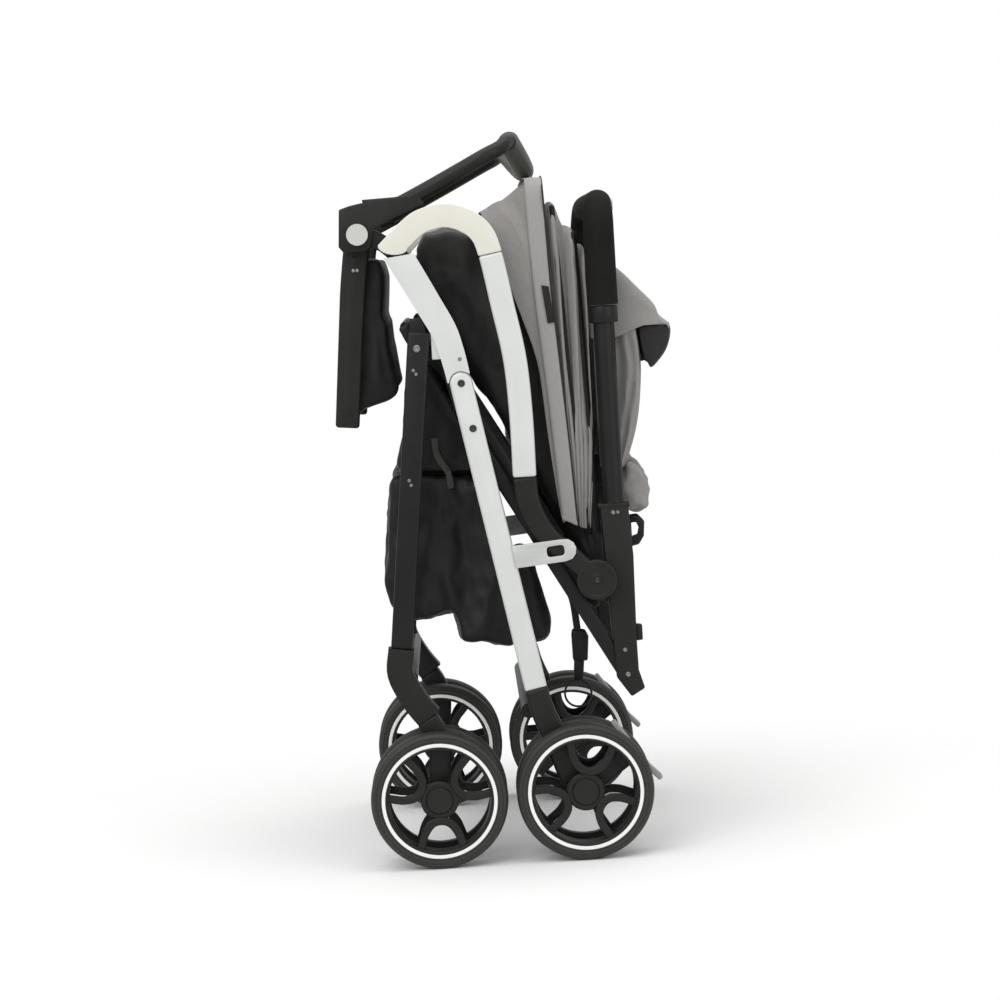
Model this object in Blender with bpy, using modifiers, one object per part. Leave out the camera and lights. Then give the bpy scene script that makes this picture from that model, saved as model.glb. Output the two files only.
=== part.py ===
"""Folding pushchair, folded and standing on its wheels.

Metres, +Z up, front of the pushchair toward -X. Both sides are made by the same loops,
with side = -1 for the occupant's left and +1 for the right.
"""
import math

import bmesh
import bpy
from mathutils import Matrix, Vector

# Layers across the width, each measured from the middle plane
HALF_WIDTH = 0.245
TYRE_WIDTH = 0.024
WHEEL_GAP = 0.030
CLEAR = 0.0003
FRAME_THICK = 0.020
SEAT_TUBE_THICK = 0.014
LAP = 0.0004
BRACKET_THICK = 0.022
LAYER_GAP = 0.0015
LEGREST_ARM_THICK = 0.013

LEG_Y = HALF_WIDTH - TYRE_WIDTH - WHEEL_GAP / 2
FRAME_IN = LEG_Y - FRAME_THICK / 2
BRACKET_Y = FRAME_IN - LAYER_GAP - BRACKET_THICK / 2
SEAT_TUBE_Y = BRACKET_Y
LEGREST_OUT = SEAT_TUBE_Y - SEAT_TUBE_THICK / 2 - 0.0005
LEGREST_IN = LEGREST_OUT - LEGREST_ARM_THICK
PAD_HALF_WIDTH = LEGREST_IN - 0.013
BORE_SPARE = 0.010

# Wheels
WHEEL_R = 0.080
TYRE_DEPTH = 0.0155
RIM_WALL = 0.006
HUB_R = 0.0165
SPOKE_WIDTH = 0.0075
SPOKE_THICK = 0.007
AXLE_R = 0.005
WHEEL_STEPS = 24
FRONT_AXLE = Vector((-0.107, 0, WHEEL_R))
REAR_AXLE = Vector((0.063, 0, WHEEL_R))

# Pivots of the folding linkage, a parallelogram ARM_FRONT, SEAT_FRONT, SEAT_REAR, ARM_REAR
FRAME_PIVOT = Vector((-0.0533, 0, 0.5612))
ARM_FRONT = Vector((-0.133, 0, 0.7255))
SEAT_FRONT = Vector((-0.101, 0, 0.6035))
SEAT_REAR = Vector((0.123, 0, 0.201))
ARM_REAR = ARM_FRONT + SEAT_REAR - SEAT_FRONT
FRONT_HINGE = Vector((-0.163, 0, 0.739))
CANOPY_PIVOT = ARM_REAR + Vector((0.003, 0, 0.0115))
BACK_PIVOT = Vector((0.122, 0, 0.276))
PIN_R = 0.004

# Tubes and bars
FRONT_LEG_WIDTH = 0.0255
REAR_LEG_WIDTH = 0.0265
SEAT_TUBE_WIDTH = 0.024
ARM_WIDTH = 0.0275
CROSS_R = 0.009
HANDLE_R = 0.0125
GRIP_R = 0.0180
BUMPER_R = 0.0088
BUMPER_GRIP_R = 0.0125
BOW_R = 0.0040
DISC_R = 0.0235

# Foot of the front leg and the caster under it; the caster turns about SWIVEL_DIR
SWIVEL_DIR = Vector((0.56, 0, -0.829)).normalized()
SWIVEL_TOP = Vector((-0.1165, 0, 0.1720))
SWIVEL_GAP = 0.0006

BLACK = (0.018, 0.018, 0.017)
SOFT_BLACK = (0.012, 0.011, 0.011)
SILVER = (0.66, 0.67, 0.66)
GREY_CLOTH = (0.27, 0.265, 0.26)
GREY_PLASTIC = (0.40, 0.40, 0.39)
SIDES = ((-1, "left"), (1, "right"))

for old in list(bpy.data.objects):
    bpy.data.objects.remove(old, do_unlink=True)

parts = bpy.data.collections.new("stroller")
cutters = bpy.data.collections.new("cutters")
bpy.context.scene.collection.children.link(parts)
bpy.context.scene.collection.children.link(cutters)


def material(name, colour, roughness, metallic=0.0):
    mat = bpy.data.materials.new(name)
    mat.use_nodes = True
    shader = mat.node_tree.nodes["Principled BSDF"]
    shader.inputs["Base Color"].default_value = (*colour, 1)
    shader.inputs["Roughness"].default_value = roughness
    shader.inputs["Metallic"].default_value = metallic
    return mat


def pivot_empty(name, place, parent=None):
    """An empty on a joint's axis, which carries the pieces of one moving body."""
    empty = bpy.data.objects.new(name, None)
    parts.objects.link(empty)
    empty.location = place
    if parent:
        empty.location = place - Vector(parent["place"])
        empty.parent = parent
    empty["place"] = place
    return empty


def to_mesh(obj, name):
    """The evaluated shape of a curve as a welded mesh object."""
    bpy.context.view_layer.update()
    graph = bpy.context.evaluated_depsgraph_get()
    mesh = bpy.data.meshes.new_from_object(obj.evaluated_get(graph))
    mesh.transform(obj.matrix_world)
    bpy.data.objects.remove(obj, do_unlink=True)
    result = bpy.data.objects.new(name, mesh)
    parts.objects.link(result)
    cage = bmesh.new()
    cage.from_mesh(mesh)
    bmesh.ops.remove_doubles(cage, verts=cage.verts, dist=0.00002)
    bmesh.ops.recalc_face_normals(cage, faces=cage.faces)
    cage.to_mesh(mesh)
    cage.free()
    return result


def plate(name, outline, y_near, y_far, holes=()):
    """A flat outline in XZ, extruded across Y; holes are further outlines."""
    curve = bpy.data.curves.new(name, "CURVE")
    curve.dimensions = "2D"
    curve.fill_mode = "BOTH"
    curve.extrude = abs(y_far - y_near) / 2
    for ring in (outline, *holes):
        spline = curve.splines.new("POLY")
        spline.points.add(len(ring) - 1)
        for point, (x, z) in zip(spline.points, ring):
            point.co = (x, z, 0, 1)
        spline.use_cyclic_u = True
    obj = bpy.data.objects.new(name, curve)
    parts.objects.link(obj)
    obj.rotation_euler = (math.pi / 2, 0, 0)
    obj.location = (0, (y_near + y_far) / 2, 0)
    return to_mesh(obj, name)


def rod(name, points, radius, detail=3):
    """A round tube along a smooth path of 3-D points, with closed ends."""
    curve = bpy.data.curves.new(name, "CURVE")
    curve.dimensions = "3D"
    curve.bevel_depth = radius
    curve.bevel_resolution = detail
    curve.use_fill_caps = True
    spline = curve.splines.new("POLY")
    spline.points.add(len(points) - 1)
    for point, place in zip(spline.points, points):
        point.co = (*place, 1)
    obj = bpy.data.objects.new(name, curve)
    parts.objects.link(obj)
    return to_mesh(obj, name)


def cylinder_y(name, centre, radius, y_near, y_far, steps=24):
    bpy.ops.mesh.primitive_cylinder_add(
        vertices=steps, radius=radius, depth=abs(y_far - y_near),
        location=(centre[0], (y_near + y_far) / 2, centre[2]), rotation=(math.pi / 2, 0, 0))
    obj = bpy.context.object
    obj.name = name
    bpy.ops.object.transform_apply(location=True, rotation=True, scale=True)
    for group in obj.users_collection:
        group.objects.unlink(obj)
    parts.objects.link(obj)
    return obj


def cylinder_along(name, start, direction, length, radius, steps=24):
    bpy.ops.mesh.primitive_cylinder_add(vertices=steps, radius=radius, depth=length)
    obj = bpy.context.object
    obj.name = name
    turn = direction.to_track_quat("Z", "Y").to_matrix().to_4x4()
    obj.data.transform(Matrix.Translation(start + direction * length / 2) @ turn)
    for group in obj.users_collection:
        group.objects.unlink(obj)
    parts.objects.link(obj)
    return obj


def box(name, low, high):
    bpy.ops.mesh.primitive_cube_add(size=1)
    obj = bpy.context.object
    obj.name = name
    size = [b - a for a, b in zip(low, high)]
    middle = [(a + b) / 2 for a, b in zip(low, high)]
    obj.data.transform(Matrix.Translation(middle) @ Matrix.Diagonal((*size, 1)))
    for group in obj.users_collection:
        group.objects.unlink(obj)
    parts.objects.link(obj)
    return obj


def combine(target, tools, operation):
    """Boolean modifiers with the tool objects set aside as hidden cutters."""
    for tool in tools:
        tool.name = f"{target.name}_tool"
        parts.objects.unlink(tool)
        cutters.objects.link(tool)
        tool.hide_render = True
        tool.hide_viewport = False
        tool.display_type = "WIRE"
        step = target.modifiers.new(operation.title(), "BOOLEAN")
        step.operation = operation
        step.solver = "EXACT"
        step.object = tool
    return target


def inset(y_a, y_b, steps=1):
    """Two faces drawn toward each other, so that joined pieces never share a face."""
    toward = math.copysign(LAP * steps, y_b - y_a)
    return y_a + toward, y_b - toward


def join(target, *tools):
    return combine(target, tools, "UNION")


def cut(target, *tools):
    return combine(target, tools, "DIFFERENCE")


def round_edges(obj, width, segments=2, angle=40):
    step = obj.modifiers.new("Rounded edges", "BEVEL")
    step.width = width
    step.segments = segments
    step.limit_method = "ANGLE"
    step.angle_limit = math.radians(angle)
    return obj


def finish(obj, mat, empty):
    """Material, smooth round faces and the body's parent empty."""
    obj.data.materials.clear()
    obj.data.materials.append(mat)
    obj.data.shade_smooth()
    obj.data.set_sharp_from_angle(angle=math.radians(35))
    place = Vector(empty["place"])
    obj.data.transform(Matrix.Translation(-place))
    obj.parent = empty
    for step in obj.modifiers:
        tool = getattr(step, "object", None)
        if tool and tool.parent is None:
            tool.data.transform(Matrix.Translation(-place))
            tool.parent = empty
    return obj


def smooth_path(points, per_span=6):
    """Catmull-Rom curve through the given points."""
    ends = [points[0] * 2 - points[1], *points, points[-1] * 2 - points[-2]]
    path = []
    for i in range(1, len(ends) - 2):
        a, b, c, d = ends[i - 1:i + 3]
        for k in range(per_span):
            t = k / per_span
            path.append(0.5 * ((2 * b) + (c - a) * t + (2 * a - 5 * b + 4 * c - d) * t * t
                               + (3 * b - 3 * c + d - a) * t ** 3))
    path.append(points[-1].copy())
    return path


def ribbon(path, width_start, width_end=None):
    """Closed outline in XZ at half a width to each side of a path of (x, z) vectors."""
    width_end = width_end or width_start
    near, far = [], []
    for i, place in enumerate(path):
        before = path[max(i - 1, 0)]
        after = path[min(i + 1, len(path) - 1)]
        run = (after - before).normalized()
        half = (width_start + (width_end - width_start) * i / (len(path) - 1)) / 2
        side_step = Vector((-run.y, run.x)) * half
        near.append(tuple(place + side_step))
        far.append(tuple(place - side_step))
    return near + far[::-1]


def flat(place):
    return Vector((place[0], place[2]))


def at_y(place, y):
    return Vector((place[0], y, place[2]))


black_plastic = material("black_plastic", BLACK, 0.45)
black_metal = material("black_metal", (0.022, 0.022, 0.022), 0.35, 0.3)
silver_metal = material("silver_metal", SILVER, 0.35, 0.6)
rubber = material("tyre_rubber", (0.02, 0.02, 0.019), 0.7)
grey_plastic = material("grey_plastic", GREY_PLASTIC, 0.5)
black_cloth = material("black_cloth", SOFT_BLACK, 0.9)
grey_cloth = material("grey_cloth", GREY_CLOTH, 0.85)
foam = material("black_foam", (0.02, 0.02, 0.02), 0.9)

rear_frame = pivot_empty("body_rear_frame", Vector((0, 0, 0)))
front_frame = pivot_empty("body_front_frame", FRAME_PIVOT, rear_frame)
armrests = pivot_empty("body_armrests", ARM_FRONT, front_frame)
seat_frame = pivot_empty("body_seat_frame", SEAT_FRONT, front_frame)
handle = pivot_empty("body_handle", SEAT_REAR, seat_frame)
legrest = pivot_empty("body_legrest", FRONT_HINGE, seat_frame)
bumper = pivot_empty("body_bumper", FRONT_HINGE, seat_frame)
canopy_front = pivot_empty("body_canopy_front", CANOPY_PIVOT, handle)
canopy_middle = pivot_empty("body_canopy_middle", CANOPY_PIVOT, handle)
back_body = pivot_empty("body_back", BACK_PIVOT, handle)

# %% Wheels: each corner has two tyres on one rim that spins on its axle
RIM_R = WHEEL_R - TYRE_DEPTH
BARREL_IN = RIM_R - RIM_WALL
SPOKE_END = (0.0225, BARREL_IN - 0.0025)
SPOKE_ARCH = [Vector(p) for p in ((-SPOKE_END[0], SPOKE_END[1]), (-0.0170, 0.0330), (-0.0085, 0.0190),
                                  (0.0085, 0.0190), (0.0170, 0.0330), SPOKE_END)]
SPOKE_COUNT = 3


def turned_ring(name, axle, profile, y_middle):
    """A ring turned about the axle; profile holds (radius, offset along the axle)."""
    mesh = bpy.data.meshes.new(name)
    cage = bmesh.new()
    corners = [cage.verts.new((radius, 0, offset)) for radius, offset in profile]
    for first, second in zip(corners, corners[1:] + corners[:1]):
        cage.edges.new((first, second))
    cage.to_mesh(mesh)
    cage.free()
    obj = bpy.data.objects.new(name, mesh)
    parts.objects.link(obj)
    screw = obj.modifiers.new("Turned", "SCREW")
    screw.steps = WHEEL_STEPS
    screw.render_steps = WHEEL_STEPS
    screw.use_merge_vertices = True
    screw.merge_threshold = 0.00005
    solid = to_mesh(obj, name)
    turn = Matrix.Rotation(math.pi / 2, 4, "X")
    solid.data.transform(Matrix.Translation((axle.x, y_middle, axle.z)) @ turn)
    return solid


def wheel_pair(tag, side, axle, first_angle, body_parent):
    spin = pivot_empty(f"body_wheels_{tag}", at_y(axle, side * LEG_Y), body_parent)
    half = TYRE_WIDTH / 2
    rims = []
    for end, offset in (("outer", 1), ("inner", -1)):
        middle = side * (LEG_Y + offset * (WHEEL_GAP + TYRE_WIDTH) / 2)
        tread = [(WHEEL_R, half - 0.007), (WHEEL_R, -half + 0.007), (WHEEL_R - 0.008, -half),
                 (RIM_R + CLEAR, -half), (RIM_R + CLEAR, half), (WHEEL_R - 0.008, half)]
        tyre = turned_ring(f"tyre_{tag}_{end}", axle, tread, middle)
        finish(tyre, rubber, spin)
        wall = [(RIM_R, half - 0.002), (RIM_R, -half + 0.002), (BARREL_IN, -half + 0.002),
                (BARREL_IN, half - 0.002)]
        barrel = turned_ring(f"barrel_{tag}_{end}", axle, wall, middle)
        face_y = middle + side * offset * (half - 0.004)
        back_y = face_y - side * offset * SPOKE_THICK
        for k in range(SPOKE_COUNT):
            turn = math.radians(first_angle - 90) + 2 * math.pi * k / SPOKE_COUNT
            arch = ribbon(SPOKE_ARCH, SPOKE_WIDTH)
            ring = [(axle.x + x * math.cos(turn) - z * math.sin(turn),
                     axle.z + x * math.sin(turn) + z * math.cos(turn)) for x, z in arch]
            rims.append(plate(f"spoke_{tag}", ring, face_y, back_y))
        hub_y = middle - side * offset * (half - 0.001)
        rims.append(cylinder_y(f"hub_{tag}", axle, HUB_R, face_y + side * offset * 0.002, hub_y, 14))
        rims.append(barrel)
    axle_half = WHEEL_GAP / 2 + 0.006
    rim = cylinder_y(f"rim_{tag}", axle, AXLE_R, side * (LEG_Y - axle_half),
                     side * (LEG_Y + axle_half), 10)
    finish(join(rim, *rims), black_plastic, spin)
    return spin


def leg_room(name, top, end, width, side):
    """The space of a leg's lower end, past which its moulded foot begins."""
    run = (end - top).normalized()
    return plate(name, ribbon([end - run * 0.03, end + run * CLEAR], width),
                 side * (LEG_Y + 0.03), side * (LEG_Y - 0.03))


# %% Rear frame: silver legs, black wheel housings, brake pedals, cross tube
REAR_LEG_TOP = Vector((-0.0535, 0.566))
REAR_LEG_JOINT = Vector((0.0130, 0.1990))
REAR_FOOT_END = Vector((0.0370, 0.1300))
REAR_HOUSING_HALF = 0.0125
HOUSING_R = 0.017
REAR_CROSS = Vector((0.0035, 0, 0.1720))
PEDAL_RUN = Vector((0.576, -0.817)).normalized()
PEDAL_OUT = Vector((-PEDAL_RUN.y, PEDAL_RUN.x))
PEDAL_REACH = (-0.0400, 0.0470)
PEDAL_TIP_DROP = 0.0030
PEDAL_ARM = 0.0587
PEDAL_EYE_R = 0.0120
PEDAL_THICK = 0.006
PEDAL_EYE = flat(REAR_AXLE) + PEDAL_OUT * PEDAL_ARM
PEDAL_PIVOT = Vector((PEDAL_EYE.x, 0, PEDAL_EYE.y))
PEDAL_FOOT = PEDAL_EYE + PEDAL_OUT * (PEDAL_EYE_R + CLEAR + PEDAL_THICK / 2)
PEDAL_PATH = [PEDAL_FOOT + PEDAL_RUN * PEDAL_REACH[0], PEDAL_FOOT + PEDAL_RUN * PEDAL_REACH[1] * 0.6,
              PEDAL_FOOT + PEDAL_RUN * PEDAL_REACH[1] + PEDAL_OUT * PEDAL_TIP_DROP]
HOUSING_HOLE = flat(REAR_AXLE) + PEDAL_OUT * 0.0370
PEDAL_HALF = 0.011
PLATE_OUTLINE = [(-0.0150, 0.3420), (0.0600, 0.3480), (0.0675, 0.3540), (0.0690, 0.3630),
                 (0.0635, 0.3710), (0.0540, 0.3735), (-0.0180, 0.3675)]
PLATE_SLOT = (Vector((0.0340, 0.3595)), Vector((0.0550, 0.3610)))
PLATE_SLOT_WIDTH = 0.0125
PLATE_THICK = 0.003
PLATE_SINK = 0.0005

for side, tag in SIDES:
    outer = side * (LEG_Y + FRAME_THICK / 2)
    inner = side * FRAME_IN
    leg_run = (REAR_LEG_JOINT - REAR_LEG_TOP).normalized()
    leg = plate(f"rear_leg_{tag}", ribbon([REAR_LEG_TOP, REAR_LEG_JOINT], REAR_LEG_WIDTH),
                outer, inner)
    leg_end = cylinder_y(f"leg_end_{tag}", (REAR_LEG_TOP.x, 0, REAR_LEG_TOP.y),
                         REAR_LEG_WIDTH / 2, *inset(outer, inner))
    join(leg, leg_end)
    cut(leg, cylinder_y(f"leg_bore_{tag}", FRAME_PIVOT, PIN_R + CLEAR, outer * 1.1, inner * 0.9, 12))
    round_edges(leg, 0.003, 1)
    plate_y = (outer + side * PLATE_THICK, outer - side * PLATE_SINK)
    join(leg, plate(f"lock_plate_{tag}", PLATE_OUTLINE, *plate_y,
                    [ribbon(PLATE_SLOT, PLATE_SLOT_WIDTH)]))
    finish(leg, silver_metal, rear_frame)

    foot_start = REAR_LEG_JOINT - leg_run * 0.002
    foot_path = [foot_start, REAR_FOOT_END, Vector((REAR_AXLE.x - 0.012, REAR_AXLE.z + 0.008))]
    foot = plate(f"rear_foot_{tag}", ribbon(foot_path, REAR_LEG_WIDTH, 0.030),
                 side * (LEG_Y + REAR_HOUSING_HALF), side * (LEG_Y - REAR_HOUSING_HALF))
    housing_faces = (side * (LEG_Y + REAR_HOUSING_HALF), side * (LEG_Y - REAR_HOUSING_HALF))
    hub = cylinder_y(f"rear_hub_{tag}", REAR_AXLE, HOUSING_R, *inset(*housing_faces))
    arm = plate(f"rear_arm_{tag}", ribbon([flat(REAR_AXLE), PEDAL_EYE], PEDAL_EYE_R * 2),
                *inset(*housing_faces, 2))
    eye = cylinder_y(f"pedal_eye_{tag}", PEDAL_PIVOT, PEDAL_EYE_R, *inset(*housing_faces, 3))
    join(foot, hub, arm, eye)
    cut(foot, leg_room(f"rear_room_{tag}", REAR_LEG_TOP, REAR_LEG_JOINT, 0.06, side),
        cylinder_y(f"rear_bore_{tag}", REAR_AXLE, AXLE_R + CLEAR, side * (LEG_Y + 0.02),
                   side * (LEG_Y - 0.02), 12),
        cylinder_y(f"foot_hole_{tag}", (HOUSING_HOLE.x, 0, HOUSING_HOLE.y), 0.004, side * (LEG_Y + 0.02),
                   side * (LEG_Y - 0.02), 12))
    finish(foot, black_plastic, rear_frame)
    wheel_pair(f"rear_{tag}", side, REAR_AXLE, 80, rear_frame)

    pedal_body = pivot_empty(f"body_pedal_{tag}", at_y(PEDAL_PIVOT, side * LEG_Y), rear_frame)
    pedal = plate(f"brake_pedal_{tag}", ribbon(PEDAL_PATH, PEDAL_THICK),
                  side * (LEG_Y + PEDAL_HALF), side * (LEG_Y - PEDAL_HALF))
    round_edges(pedal, 0.0012, 1)
    finish(pedal, grey_plastic, pedal_body)

cross_end = LEG_Y - REAR_HOUSING_HALF - CLEAR
rear_tube = cylinder_y("rear_cross_tube", REAR_CROSS, CROSS_R, -cross_end, cross_end, 20)
finish(rear_tube, black_metal, rear_frame)

# %% Front frame: black legs and feet, silver side housings, cross tube, basket
FRONT_LEG_TOP = Vector((-0.0968, 0.6360))
FRONT_LEG_JOINT = Vector((-0.1407, 0.2550))
SEAM = (Vector((-0.1391, 0.7246)), Vector((-0.1045, 0.7191)))
SEAM_GAP = 0.0006
KNUCKLE_R = 0.0100
HOUSING_PATH = [Vector(p) for p in ((-0.1330, 0.7420), (-0.1060, 0.6930), (-0.0860, 0.6550),
                                    (-0.0700, 0.6240), (-0.0630, 0.6020), (-0.0590, 0.5830))]
HOUSING_WIDTH = 0.0330
FRONT_LEG_RUN = (FRONT_LEG_JOINT - FRONT_LEG_TOP).normalized()
FOOT_PATH = [FRONT_LEG_JOINT - FRONT_LEG_RUN * 0.002, FRONT_LEG_JOINT + FRONT_LEG_RUN * 0.028,
             Vector((-0.1290, 0.1950)), Vector((-0.1060, 0.1620))]
FOOT_WIDTH = 0.030
FOOT_THICK = 0.026
CASTER_R = 0.0125
FORK_HALF = 0.0120
FRONT_CROSS = Vector((-0.1330, 0, 0.2180))
HINGE_LUG = 0.0045



def beyond_seam(name, away, y_near, y_far):
    """A slab that covers everything to one side of the seam between housing and arch."""
    run = (SEAM[1] - SEAM[0]).normalized()
    rise = Vector((-run.y, run.x)) * away
    low = SEAM[0] - run * 0.03 - rise * SEAM_GAP / 2
    high = SEAM[1] + run * 0.03 - rise * SEAM_GAP / 2
    return plate(name, [tuple(low), tuple(high), tuple(high + rise * 0.06),
                        tuple(low + rise * 0.06)], y_near, y_far)


for side, tag in SIDES:
    outer = side * (LEG_Y + FRAME_THICK / 2)
    inner = side * FRAME_IN
    leg = plate(f"front_leg_{tag}", ribbon([FRONT_LEG_TOP, FRONT_LEG_JOINT], FRONT_LEG_WIDTH),
                outer, inner)
    boss = cylinder_y(f"seat_boss_{tag}", SEAT_FRONT, 0.010, inner + side * 0.002,
                      side * (SEAT_TUBE_Y + SEAT_TUBE_THICK / 2 + CLEAR), 20)
    pin = cylinder_y(f"seat_pin_{tag}", SEAT_FRONT, PIN_R, inner + side * 0.002,
                     side * (SEAT_TUBE_Y - SEAT_TUBE_THICK / 2), 12)
    join(leg, boss, pin)
    finish(leg, black_metal, front_frame)

    shell = plate(f"side_housing_{tag}", ribbon(smooth_path(HOUSING_PATH, 2), HOUSING_WIDTH,
                                                0.029), outer, inner)
    pivot_block = cylinder_y(f"pivot_block_{tag}", FRAME_PIVOT, 0.0125,
                             side * (FRAME_IN - HINGE_LUG), side * (FRAME_IN - CLEAR), 24)
    pivot_strap = plate(f"pivot_strap_{tag}",
                        ribbon([flat(FRAME_PIVOT), Vector((-0.0640, 0.6080))], 0.022),
                        *inset(side * (FRAME_IN - HINGE_LUG), side * (FRAME_IN - CLEAR)))
    root_low, root_high = sorted(inset(inner - side * HINGE_LUG, inner + side * HINGE_LUG, 2))
    strap_root = box(f"strap_root_{tag}", (-0.0750, root_low, 0.5950), (-0.0560, root_high, 0.6100))
    pivot_pin = cylinder_y(f"pivot_pin_{tag}", FRAME_PIVOT, PIN_R,
                           side * (FRAME_IN - HINGE_LUG / 2), outer, 16)
    bridge_low, bridge_high = sorted(inset(inner, outer))
    bridge = box(f"bridge_{tag}", (-0.0850, bridge_low, 0.5925), (-0.0700, bridge_high, 0.6260))
    join(shell, pivot_block, pivot_strap, strap_root, pivot_pin, bridge)
    leg_seat = plate(f"leg_seat_{tag}", ribbon([FRONT_LEG_TOP - FRONT_LEG_RUN * 0.02,
                                                FRONT_LEG_JOINT], FRONT_LEG_WIDTH + 2 * CLEAR),
                     outer * 1.1, inner * 0.9)
    cut(shell, leg_seat, beyond_seam(f"above_seam_{tag}", 1, outer * 1.1, inner * 0.9),
        cylinder_y(f"knuckle_room_{tag}", ARM_FRONT, KNUCKLE_R + CLEAR, side * LEG_Y,
                   inner * 0.9, 24))
    join(shell, cylinder_y(f"cheek_{tag}", ARM_FRONT, KNUCKLE_R, outer - side * LAP,
                                side * LEG_Y, 24),
         cylinder_y(f"knuckle_pin_{tag}", ARM_FRONT, PIN_R, outer - side * 0.004, inner, 12))
    finish(shell, silver_metal, front_frame)

    foot = plate(f"front_foot_{tag}", ribbon(smooth_path(FOOT_PATH, 3), FOOT_WIDTH),
                 side * (LEG_Y + FOOT_THICK / 2), side * (LEG_Y - FOOT_THICK / 2))
    cut_place = at_y(SWIVEL_TOP, side * LEG_Y)
    cut(foot, cylinder_along(f"foot_face_{tag}", cut_place, SWIVEL_DIR, 0.05, 0.05, 24),
        leg_room(f"leg_room_{tag}", FRONT_LEG_TOP, FRONT_LEG_JOINT, FOOT_WIDTH * 2, side))
    finish(foot, black_plastic, front_frame)

    caster_body = pivot_empty(f"body_caster_{tag}", cut_place, front_frame)
    neck = cylinder_along(f"caster_{tag}", cut_place + SWIVEL_DIR * SWIVEL_GAP, SWIVEL_DIR, 0.030,
                          CASTER_R, 24)
    fork_start = flat(SWIVEL_TOP + SWIVEL_DIR * 0.024)
    fork_faces = (side * (LEG_Y + FORK_HALF), side * (LEG_Y - FORK_HALF))
    fork = plate(f"fork_{tag}", ribbon([fork_start, flat(FRONT_AXLE)], 0.026), *inset(*fork_faces))
    guard = plate(f"guard_{tag}", ribbon([Vector((-0.1480, 0.1020)), flat(FRONT_AXLE)], 0.020),
                  *inset(*fork_faces, 2))
    fork_hub = cylinder_y(f"fork_hub_{tag}", FRONT_AXLE, HOUSING_R, *fork_faces, 24)
    join(neck, fork, guard, fork_hub)
    cut(neck, cylinder_y(f"front_bore_{tag}", FRONT_AXLE, AXLE_R + CLEAR, side * (LEG_Y + 0.02),
                         side * (LEG_Y - 0.02), 12))
    finish(neck, black_plastic, caster_body)
    wheel_pair(f"front_{tag}", side, FRONT_AXLE, -90, caster_body)

front_tube = cylinder_y("front_cross_tube", FRONT_CROSS, CROSS_R,
                        -(LEG_Y - FOOT_THICK / 2 - CLEAR), LEG_Y - FOOT_THICK / 2 - CLEAR, 20)
finish(front_tube, black_metal, front_frame)

BASKET_HALF_WIDTH = LEGREST_IN - 0.004
BASKET_OUTLINE = [(-0.1420, 0.4550), (-0.1500, 0.4000), (-0.1580, 0.3250), (-0.1520, 0.2980),
                  (-0.1330, 0.2810), (-0.1000, 0.2830), (-0.0700, 0.2850),
                  (-0.0620, 0.2500), (-0.0120, 0.2460), (-0.0030, 0.3330), (-0.0280, 0.4450)]
HEM_AT = (-0.1280, 0, 0.3600)
HEM_R = 0.0030
basket = plate("basket", BASKET_OUTLINE, -BASKET_HALF_WIDTH, BASKET_HALF_WIDTH)
round_edges(basket, 0.010, 2, 20)
hem_side = FRAME_IN - CLEAR
join(basket, cylinder_y("hem_wire", HEM_AT, HEM_R, -hem_side, hem_side, 10))
finish(basket, black_cloth, front_frame)

# %% Armrests: silver arch and tube, black end with the round hinge disc
ARCH_PATH = [Vector(p) for p in ((-0.1405, 0.7052), (-0.1015, 0.7415), (-0.0820, 0.7520),
                                 (-0.0600, 0.7550), (-0.0385, 0.7485), (-0.0205, 0.7340),
                                 (-0.0110, 0.7090), (0.0000, 0.6480), (0.0105, 0.5860),
                                 (0.0140, 0.5200), (0.0140, 0.4480))]
ARM_END_PATH = [Vector(p) for p in ((0.0140, 0.4470), (0.0160, 0.4220), (0.0240, 0.3980),
                                    (0.0390, 0.3740), (0.0620, 0.3530), (0.0850, 0.3290))]
ARM_IN = FRAME_IN + CLEAR
ARM_END_OUT = LEG_Y + FRAME_THICK / 2 - PLATE_SINK - 2 * CLEAR
DISC_OUT = ARM_END_OUT + LAP / 2
for side, tag in SIDES:
    outer = side * (LEG_Y + FRAME_THICK / 2)
    inner = side * ARM_IN
    arm = plate(f"arm_tube_{tag}", ribbon(smooth_path(ARCH_PATH, 3), ARM_WIDTH), outer, inner)
    cut(arm, beyond_seam(f"below_seam_{tag}", -1, outer * 1.1, inner * 0.9),
        cylinder_y(f"cheek_room_{tag}", ARM_FRONT, KNUCKLE_R + CLEAR, outer * 1.1,
                   side * (LEG_Y - CLEAR), 24))
    join(arm, cylinder_y(f"arm_knuckle_{tag}", ARM_FRONT, KNUCKLE_R, side * (LEG_Y - 2 * CLEAR),
                         inner + side * LAP, 24))
    cut(arm, cylinder_y(f"knuckle_bore_{tag}", ARM_FRONT, PIN_R + CLEAR, outer * 1.1,
                        inner * 0.9, 12))
    finish(arm, silver_metal, armrests)

    arm_end = plate(f"arm_end_{tag}", ribbon(smooth_path(ARM_END_PATH, 2), ARM_WIDTH, 0.022),
                    side * ARM_END_OUT, inner + side * LAP)
    disc = cylinder_y(f"disc_{tag}", ARM_REAR, DISC_R, side * DISC_OUT, inner, 28)
    join(arm_end, disc)
    cut(arm_end, cylinder_y(f"disc_bore_{tag}", ARM_REAR, PIN_R + CLEAR, outer * 1.1,
                            inner * 0.9, 12))
    finish(arm_end, black_plastic, armrests)

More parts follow.
